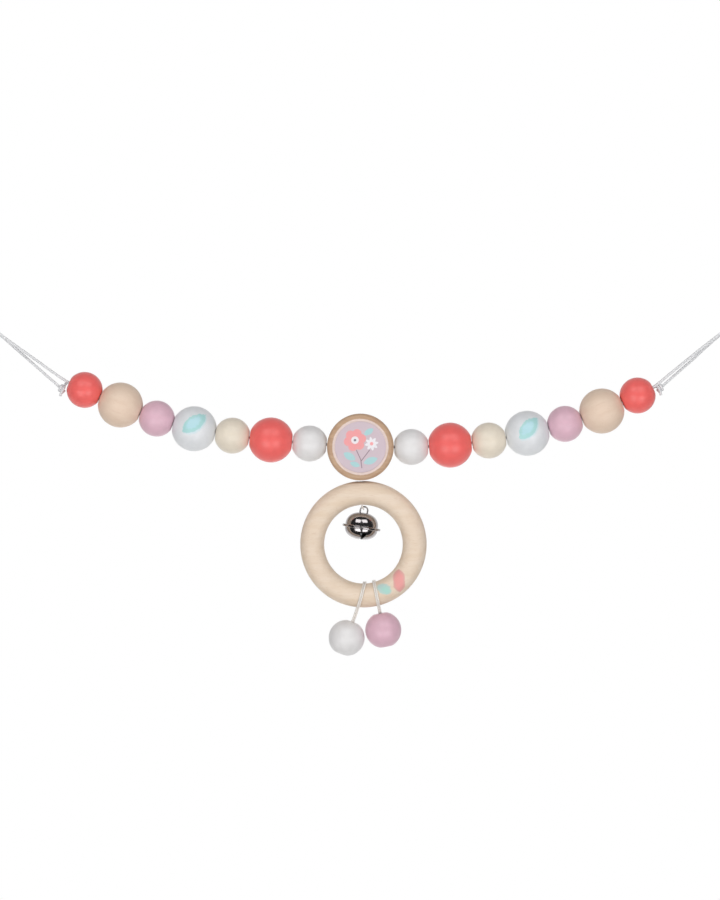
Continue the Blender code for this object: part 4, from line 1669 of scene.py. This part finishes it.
@dataclass
class Pendant:
    """A bead on a doubled cord slung over the ring, knotted in a recess in the bead's foot."""

    name: str
    bead: TurnedBead
    shape: CordShape
    ring: WoodenRing
    aside: float = 0.0
    seat: float = 0.0003
    strand_gap: float = 0.00006
    recess_depth: float = KNOT_RECESS[1]
    knot_half_width: float = 0.0021
    knot_half_height: float = 0.0010
    arc_steps: int = 9
    halvings: int = 40
    fold_steps: int = 5
    step: float = 0.0002
    knot_opening: float = math.pi / 6
    knot_points: int = 260

    def place(self) -> Placement:
        """Own axes: the origin on the ring's centreline, and Z up along the pendant."""
        joint = f"{self.name}_pendant"
        return Placement.upright(joint_place(f"{joint}_swing"), joint_axis(f"{joint}_bead_spin"))

    def drop(self) -> float:
        """How far the bead's middle hangs under the ring's centreline."""
        place = self.place()
        return float((place.origin - joint_place(f"{self.name}_pendant_bead_spin")) @ place.z_axis)

    def round_ring(self, angles: Array, foot: float, lead: float) -> Array:
        """A strand's points round the ring's tube, at a set distance from its centreline.

        Each ray from the middle, at an angle from straight down towards the back, is halved
        again and again to where its distance from the ring's centre circle is the clearance. The
        strand moves aside as it climbs, by the share (1 - cos a) / 2.

        Args:
            angles: the rays' angles.
            foot: how far aside the strand is at its foot.
            lead: the angle between the pendant and the ring's own ray.

        Returns:
            A point for each angle, in the pendant's own axes.
        """
        across = foot + self.aside * (1 - np.cos(angles)) / 2
        middle = self.ring.outer / 2 - self.ring.tube / 2
        clearance = self.ring.tube / 2 + self.seat + self.shape.diameter / 2
        near, far = np.zeros(len(angles)), np.full(len(angles), 2 * clearance)
        for _ in range(self.halvings):
            reach = (near + far) / 2
            y, z = reach * np.sin(angles), -reach * np.cos(angles)
            off_ring = np.hypot(across - middle * math.sin(lead),
                                z - middle * math.cos(lead)) - middle
            inside = np.hypot(off_ring, y) < clearance
            near, far = np.where(inside, reach, near), np.where(inside, far, reach)
        return np.column_stack([across, y, z])

    def strand(self, side: int, mouth: float, foot: float, apart: float, lead: float) -> Array:
        """One strand's route: up in the bead, over the ring and down in the bead again.

        Args:
            side: -1 for the left strand and 1 for the right one.
            mouth: the height of the bead's mouth.
            foot: the height where the strands end in the bead.
            apart: half the distance between the strands.
            lead: the angle between the pendant and the ring's own ray.

        Returns:
            The route's points, in the pendant's own axes.
        """
        across = side * apart
        swept = self.round_ring(np.radians(np.arange(180)), across, lead)
        touch = math.radians(int(np.argmax(np.arctan2(swept[:, 1] - apart, swept[:, 2] - mouth))))
        angles = np.linspace(touch, 2 * math.pi - touch, self.arc_steps + 1)
        over = self.round_ring(angles, across, lead)
        down = np.array([(across, (over[0, 1] + apart) / 2, (over[0, 2] + mouth) / 2),
                         (across, apart, mouth), (across, apart, (foot + mouth) / 2),
                         (across, apart, foot)])
        return np.vstack([(down * (1, -1, 1))[::-1], over[::-1], down])

    def sling(self, roof: float, mouth: float) -> tuple[Array, Array]:
        """The doubled cord: both strands over the ring, joined by a fold above the knot.

        Over the fold the section's reference turns from across to backwards.

        Args:
            roof: the height of the knot recess's roof.
            mouth: the height of the bead's mouth.

        Returns:
            The centreline and the reference at each point, in the pendant's own axes.
        """
        place, radius = self.place(), self.shape.diameter / 2
        apart = radius + self.strand_gap / 2
        foot = roof + radius + apart
        ring_down, down = unit(place.origin - self.ring.centre()), -place.z_axis
        lead = -math.atan2(float(np.cross(ring_down, down)[1]), float(ring_down @ down))
        first, second = (self.strand(side, mouth, foot, apart, lead) for side in (-1, 1))
        folds = np.radians(np.linspace(0, 180, self.fold_steps + 1)[1:-1])
        fold = np.column_stack([-apart * np.cos(folds), np.full(len(folds), apart),
                                foot - apart * np.sin(folds)])
        path = smooth_curve(np.vstack([first, fold, second[::-1]]), self.step)
        near_fold = np.clip((foot + 2 * apart - path[:, 2]) / apart, 0, 1)[:, None]
        return path, (1 - near_fold) * ACROSS + near_fold * BACKWARDS

    def overhand(self, height: float) -> tuple[Array, Array]:
        """The knot: a flat trefoil x = sin t + 2 sin 2t, y = cos t - 2 cos 2t, z = -sin 3t.

        Args:
            height: the height of its middle.

        Returns:
            The centreline and the way out from its core, in the pendant's own axes.
        """
        scale = self.knot_half_width / 3
        turns = np.linspace(self.knot_opening, 2 * math.pi - self.knot_opening, self.knot_points)
        tied = np.column_stack([scale * (np.sin(turns) + 2 * np.sin(2 * turns)),
                                scale * (np.cos(turns) - 2 * np.cos(2 * turns)),
                                height - self.knot_half_height * np.sin(3 * turns)])
        core = np.column_stack([2 * scale * np.sin(2 * turns), -2 * scale * np.cos(2 * turns),
                                np.full(self.knot_points, height)])
        return tied, tied - core

    def build(self, finish: Material) -> list[Piece]:
        """Builds the pendant.

        Args:
            finish: the cord's material.

        Returns:
            The cord, its knot and the bead.
        """
        place, body = self.place(), f"{self.name}_pendant"
        mouth = self.bead.length / 2 - self.drop()
        roof = -self.drop() - self.bead.length / 2 + self.recess_depth
        knot_height = roof - self.seat - self.shape.diameter / 2 - self.knot_half_height
        made = []
        for name, node, (path, reference) in (
                ("sling", "cord", self.sling(roof, mouth)),
                ("overhand", "knot", self.overhand(knot_height))):
            cord = self.shape.make(f"{body}_{name}", place.to_frame(path),
                                   place.to_frame(reference) - place.origin)
            made.append(fit(cord, body, f"{body}_{node}", finish))
        made.append(self.bead.build())
        return made


# Studio


@dataclass
class Studio:
    """A pale tent with a dark lens side, lit by four window panes and a wall, and the camera.

    The fill is the light that the tent gives. A mirror sees the lens dark where the direction's
    Y is below the lens side's first end. From there to its second end the tent rises to the
    side's grey, and then to 1, the white background, straight behind the toy.
    """

    centre: Array
    distance: float = 1.7
    lens_sensor: float = 36.0
    clip: Pair = (0.01, 20.0)
    pane: Pair = (1.0, 0.86)
    upper_pane: Point = (0.574, -1.103, 1.007)
    lower_pane: Point = (0.690, -1.325, -0.573)
    upper_power: float = 6.0
    lower_power: float = 8.4
    back_pane: Pair = (1.2, 0.9)
    back_place: Point = (0.0, 1.7, 0.1)
    back_power: float = 17.0
    fill: float = 0.28
    lens_side: Pair = (-0.12, 0.10)
    lens_dark: float = 0.04
    side_grey: float = 0.5
    floor_glow: float = 0.42
    floor_drop: float = 0.42
    floor_side: float = 1.3
    floor_front: float = -0.7
    floor_lens_edge: Pair = (0.04, -0.06)
    paper_colours: tuple[str, str] = ("#ececeb", "#f0f0ef")
    paper_fibre: float = 60.0
    paper_roughness: float = 0.9

    def camera(self) -> None:
        """The camera straight in front of the toy, framed as the photograph is."""
        data = bpy.data.cameras.new("view")
        data.sensor_fit = "VERTICAL"
        data.sensor_height = self.lens_sensor
        height = PHOTO_HEIGHT_PX * PIXEL_MM * MM
        data.lens = self.lens_sensor * self.distance / height
        data.clip_start, data.clip_end = self.clip
        camera = bpy.data.objects.new("view", data)
        bpy.context.scene.collection.objects.link(camera)
        right = (PHOTO_WIDTH_PX / 2 - MEDALLION_PX[0]) * PIXEL_MM * MM
        up = (MEDALLION_PX[1] - PHOTO_HEIGHT_PX / 2) * PIXEL_MM * MM
        camera.location = (self.centre[0] + right, -self.distance, self.centre[2] + up)
        camera.rotation_euler = (math.pi / 2, 0, 0)
        bpy.context.scene.camera = camera

    def lamp(self, name: str, place: Point, power: float, size: Pair) -> Piece:
        """Adds a pane of light that looks at the toy.

        Args:
            name: the lamp's name.
            place: where it stands, from the toy's middle.
            power: its power in watts.
            size: its width and height.

        Returns:
            The lamp.
        """
        data = bpy.data.lights.new(name, "AREA")
        data.shape = "RECTANGLE"
        data.size, data.size_y = size
        data.energy = power
        lamp = bpy.data.objects.new(name, data)
        bpy.context.scene.collection.objects.link(lamp)
        lamp.location = Vector(self.centre) + Vector(place)
        lamp.rotation_euler = (-Vector(place)).to_track_quat("-Z", "Y").to_euler()
        lamp.visible_camera = False
        return lamp

    def world(self) -> None:
        """White behind the toy for the eye, grey fill, and for gloss a dark lens side."""
        world = bpy.data.worlds.new("tent")
        bpy.context.scene.world = world
        world.use_nodes = True
        tree = world.node_tree
        tree.nodes.clear()
        path = add_node(tree, "ShaderNodeLightPath").outputs
        place = add_node(tree, "ShaderNodeTexCoord")
        split = add_node(tree, "ShaderNodeSeparateXYZ", {0: place.outputs["Generated"]})
        wall = map_range(tree, split.outputs[1], self.lens_side, (self.lens_dark, self.side_grey))
        behind = map_range(tree, split.outputs[1], (self.lens_side[1], 1.0),
                           (0.0, 1 - self.side_grey))
        fill, seen, gloss = (
            add_node(tree, "ShaderNodeBackground", {"Color": WHITE, "Strength": strength})
            for strength in (self.fill, 1.0, combine(tree, "ADD", wall, behind)))
        clear = combine(tree, "MAXIMUM", path["Is Camera Ray"], path["Is Transmission Ray"])
        shiny = add_node(tree, "ShaderNodeMixShader", {0: path["Is Glossy Ray"],
                                                       1: fill.outputs[0], 2: gloss.outputs[0]})
        mixed = add_node(tree, "ShaderNodeMixShader", {0: clear, 1: shiny.outputs[0],
                                                       2: seen.outputs[0]})
        add_node(tree, "ShaderNodeOutputWorld", {0: mixed.outputs[0]})

    def paper(self) -> Material:
        """Makes white paper that a mirror sees as dark in front of the toy, like the tent.

        Returns:
            The material.
        """
        made, tree, shader = new_material("white_paper_floor")
        place = add_node(tree, "ShaderNodeTexCoord")
        fibre = add_node(tree, "ShaderNodeTexNoise", {"Vector": place.outputs["Object"],
                                                      "Scale": self.paper_fibre})
        tone = mix_colours(tree, fibre.outputs[0], *map(linear, self.paper_colours))
        set_inputs(tree, shader, {"Base Color": tone, "Roughness": self.paper_roughness})
        path = add_node(tree, "ShaderNodeLightPath").outputs
        split = add_node(tree, "ShaderNodeSeparateXYZ", {0: place.outputs["Object"]})
        front = map_range(tree, split.outputs[1], self.floor_lens_edge)
        dark = combine(tree, "MULTIPLY", path["Is Glossy Ray"], front)
        shade = add_node(tree, "ShaderNodeBsdfDiffuse", {"Color": (self.lens_dark,) * 3 + (1,)})
        mixed = add_node(tree, "ShaderNodeMixShader", {0: dark, 1: shader.outputs[0],
                                                       2: shade.outputs[0]})
        # The eye, a mirror behind the toy and clear matter see the paper nearly white.
        seen = combine(tree, "MAXIMUM", path["Is Camera Ray"], path["Is Transmission Ray"])
        rear = combine(tree, "SUBTRACT", path["Is Glossy Ray"], dark)
        glow = combine(tree, "MULTIPLY", combine(tree, "MAXIMUM", seen, rear), self.floor_glow)
        white = add_node(tree, "ShaderNodeEmission", {"Color": WHITE, "Strength": glow})
        pale = add_node(tree, "ShaderNodeAddShader", {0: mixed.outputs[0], 1: white.outputs[0]})
        tree.links.new(pale.outputs[0], tree.nodes["Material Output"].inputs[0])
        return made

    def floor(self) -> None:
        """A pale floor well under the toy, out of the photograph's frame."""
        height = CAD_BOX[0][2] - self.floor_drop
        middle, side, front = float(self.centre[0]), self.floor_side, self.floor_front
        corners = [(middle - side, front, height), (middle + side, front, height),
                   (middle + side, side, height), (middle - side, side, height)]
        mesh = bpy.data.meshes.new("studio_floor")
        mesh.from_pydata(corners, [], [(0, 1, 2, 3)])
        floor = bpy.data.objects.new("studio_floor", mesh)
        bpy.context.scene.collection.objects.link(floor)
        mesh.materials.append(self.paper())

    def build(self) -> None:
        """Everything round the toy."""
        self.camera()
        for side, name in ((-1, "left"), (1, "right")):
            for level, place, power in (("upper", self.upper_pane, self.upper_power),
                                        ("lower", self.lower_pane, self.lower_power)):
                self.lamp(f"window_{level}_{name}", (side * place[0], place[1], place[2]), power,
                          self.pane)
        # The wall behind throws light on the toy's back, but isn't a lamp that a mirror sees.
        wall = self.lamp("wall_behind", self.back_place, self.back_power, self.back_pane)
        wall.visible_glossy = False
        self.world()
        self.floor()
        bpy.context.scene.view_settings.view_transform = "Standard"


# The toy


# Route points of the elastic at each end, as (outwards, upwards, backwards) from the end
# bead's mouth.
LEFT_LOOP: tuple[Point, ...] = (
    (0.0038, 0.0024, -0.0007), (0.0074, 0.0049, -0.0008), (0.0110, 0.0074, -0.0009),
    (0.0172, 0.0119, -0.0011), (0.0242, 0.0169, -0.0015), (0.0312, 0.0219, -0.0019),
    (0.0372, 0.0263, -0.0024), (0.0410, 0.0293, -0.0028), (0.0437, 0.0314, -0.0028),
    (0.0453, 0.0326, -0.0020), (0.0460, 0.0331, 0.0), (0.0453, 0.0325, 0.0020),
    (0.0437, 0.0312, 0.0028), (0.0410, 0.0289, 0.0028), (0.0372, 0.0256, 0.0024),
    (0.0312, 0.0203, 0.0019), (0.0242, 0.0142, 0.0015), (0.0172, 0.0081, 0.0011),
    (0.0110, 0.0027, 0.0007), (0.0072, -0.0006, 0.0003), (0.0052, -0.0024, 0.0),
    (0.0026, -0.0048, 0.0),
)
RIGHT_LOOP: tuple[Point, ...] = (
    (0.0024, 0.0020, -0.0007), (0.0056, 0.0046, -0.0008), (0.0100, 0.0083, -0.0009),
    (0.0160, 0.0132, -0.0011), (0.0225, 0.0185, -0.0015), (0.0290, 0.0237, -0.0019),
    (0.0363, 0.0293, -0.0024), (0.0404, 0.0323, -0.0028), (0.0432, 0.0343, -0.0028),
    (0.0449, 0.0355, -0.0020), (0.0456, 0.0360, 0.0), (0.0449, 0.0354, 0.0020),
    (0.0432, 0.0341, 0.0028), (0.0404, 0.0319, 0.0028), (0.0363, 0.0284, 0.0024),
    (0.0290, 0.0220, 0.0019), (0.0225, 0.0160, 0.0015), (0.0160, 0.0103, 0.0011),
    (0.0100, 0.0051, 0.0007), (0.0066, 0.0021, 0.0003), (0.0050, 0.0007, 0.0),
    (0.0026, -0.0014, 0.0),
)
LEFT_TIE: tuple[Point, ...] = ((0.0010, 0.0004, 0.0008), (0.0022, -0.0005, 0.0013),
                               (0.0034, -0.0024, 0.0014))
RIGHT_TIE: tuple[Point, ...] = ((0.0008, 0.0005, 0.0009), (0.0018, 0.0008, 0.0013),
                                (0.0034, 0.0004, 0.0014))
LEFT_TAIL: tuple[Point, ...] = ((0.0046, -0.0060, -0.0008), (0.0049, -0.0074, -0.0004))
RIGHT_TAIL: tuple[Point, ...] = ((0.0042, -0.0026, -0.0010), (0.0046, -0.0042, -0.0006))
LEFT_KNOT: Point = (0.0042, -0.0033, 0.0)
RIGHT_KNOT: Point = (0.0041, 0.0000, 0.0)


class Lacquer(Enum):
    """The lacquers on the beads, by the record's slot."""

    CORAL = ("paint_coral", "#ee6763")
    CREAM = ("paint_cream", "#e2d7c6")
    PINK = ("paint_pink", "#d9b1c0")
    LILAC_WHITE = ("paint_lilac_white", "#dddfe2")
    PALE_GREY = ("paint_pale_grey", "#dfdddd")


# The leaf's inks. The last one, a paler patch inside the leaf, is a painted highlight.
LEAF_INKS_AND_PAINTED_HIGHLIGHT = (Ink("leaf_ghost", "#cddde2", 0.8, 0.5), Ink("leaf", "#a2d3d2", 0.5, 0.4),
             Ink("leaf_painted_highlight", "#b6dbe4", 1.2, 0.6))


@dataclass
class PramChain:
    """The whole toy, class by class in the order that it is threaded."""

    centre: Array = field(init=False)
    elastic: CordShape = CordShape(0.0015, 4, 0.0016, 0.02, True)
    cord: CordShape = CordShape(0.0009, 3, 0.0016, 0.12, False)

    def __post_init__(self) -> None:
        """Reads the medallion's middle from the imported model."""
        low, high = (np.array(corner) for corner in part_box("medallion_body"))
        self.centre = (low + high) / 2

    def chain_beads(self) -> list[TurnedBead]:
        """Plans the fourteen beads, seven a side from the medallion outwards.

        Returns:
            The left side's beads and then the right side's.
        """
        natural = TurnedBeech("clear_beech_bead", "#e3ccb8", "#dfc6b1", "#d8bca5")
        plan = (("white", SMALL, Lacquer.PALE_GREY), ("coral", LARGE, Lacquer.CORAL),
                ("cream", SMALL, Lacquer.CREAM), ("leaf", LARGE, Lacquer.LILAC_WHITE),
                ("pink", SMALL, Lacquer.PINK), ("natural", LARGE, None),
                ("end", SMALL, Lacquer.CORAL))
        leaves = {"left": LeafPrint((0.0004, 0.0028), 0.0160, 0.0082, 36.0),
                  "right": LeafPrint((0.0000, 0.0026), 0.0152, 0.0080, 52.0)}
        beads = []
        for side in ("left", "right"):
            for name, (diameter, mouth), lacquer in plan:
                leaf = leaves[side] if name == "leaf" else None
                if lacquer is None:
                    finish, slot = natural, "beech"
                else:
                    slot, colour = lacquer.value
                    finish = AcrylicLacquerOnBeech(f"acrylic_{slot}", colour,
                                                   inks=LEAF_INKS_AND_PAINTED_HIGHLIGHT if leaf else ())
                beads.append(TurnedBead(f"{side}_{name}_bead", slot, finish, diameter, mouth,
                                        leaf=leaf))
        return beads

    def pendants(self, ring: WoodenRing) -> list[Pendant]:
        """Plans the pendants. The white one's cord slants as it climbs.

        Args:
            ring: the ring they hang from.

        Returns:
            The white and the pink pendant.
        """
        made = []
        for name, lacquer, aside in (("white", Lacquer.PALE_GREY, -0.0014),
                                     ("pink", Lacquer.PINK, 0.0)):
            slot, colour = lacquer.value
            bead = TurnedBead(f"{name}_pendant_bead", slot,
                              AcrylicLacquerOnBeech(f"acrylic_{slot}", colour), *SMALL,
                              knot_recess=KNOT_RECESS)
            made.append(Pendant(name, bead, self.cord, ring, aside))
        return made

    def build(self) -> None:
        """Builds the elastic first, then the beads, and then from the medallion downwards."""
        braid = SpunYarn("braided_elastic", "#d9d9db", "#d2d3d5", 4, 1.6, True, 0.08).material()
        yarn = SpunYarn("twisted_cotton_cord", "#f0ebe5", "#d9d2ca", 3, 1.6, False).material()
        ends = [ElasticEnd(-1, "left", "left_end_bead", LEFT_LOOP, LEFT_TIE, LEFT_TAIL, LEFT_KNOT,
                           self.elastic),
                ElasticEnd(1, "right", "right_end_bead", RIGHT_LOOP, RIGHT_TIE, RIGHT_TAIL,
                           RIGHT_KNOT, self.elastic)]
        for end in ends:
            end.build(braid)
        beads = self.chain_beads()
        names = [bead.node for bead in beads]
        half = len(names) // 2
        order = (*names[:half][::-1], *names[half:])
        ThreadedElastic(*ends, order, self.elastic).build(self.centre, braid)
        for bead in beads:
            bead.build()
        disc = TurnedBeech("turned_medallion_wood", "#bf9f82", "#b39175", "#a17c5e",
                           Grain.BOARD, 0.45, (Ink("bare_bevel", "#ecdad3", 0.5, 0.1),))
        film = PrintedFilm("lilac_screen_print", "#c9b8c0",
                           (Ink("stems", "#8a7580"), Ink("leaves", "#a3cfd1"),
                            Ink("petals", "#ee9b9b"), Ink("rays", "#e8e6ea"),
                            Ink("eye", "#e8e6ea"), Ink("dot", "#6d6470"),
                            Ink("heart", "#ee9b9b")))
        Medallion(self.centre).build(disc, film)
        Hanger(self.centre, self.cord).build(yarn)
        ring = WoodenRing()
        ring.build(TurnedBeech("clear_beech_ring", "#e4d2bf", "#dec9b2", "#d3b89f", Grain.BOARD,
                               0.5, (Ink("mint_leaf", "#accdc9", 1.0, 0.4),
                                     Ink("mint_core", "#a4d2c7", 1.2, 0.5),
                                     Ink("coral_leaf", "#da9f99", 0.5, 0.15),
                                     Ink("coral_core", "#e69b98", 1.4, 0.5))))
        JingleBell().build(NickelPlate("bright_nickel_shell", "#b0abac", 0.1),
                           NickelPlate("bright_nickel_wire", "#b0abac", 0.16),
                           NickelPlate("plain_steel_ball", "#8a8a8c", 0.3))
        for pendant in self.pendants(ring):
            pendant.build(yarn)


def main() -> None:
    """Builds the studio and the toy."""
    logging.basicConfig(level=logging.INFO, format="%(message)s")
    toy = PramChain()
    Studio(toy.centre).build()
    toy.build()
    bpy.context.view_layer.update()


if __name__ == "__main__":
    main()
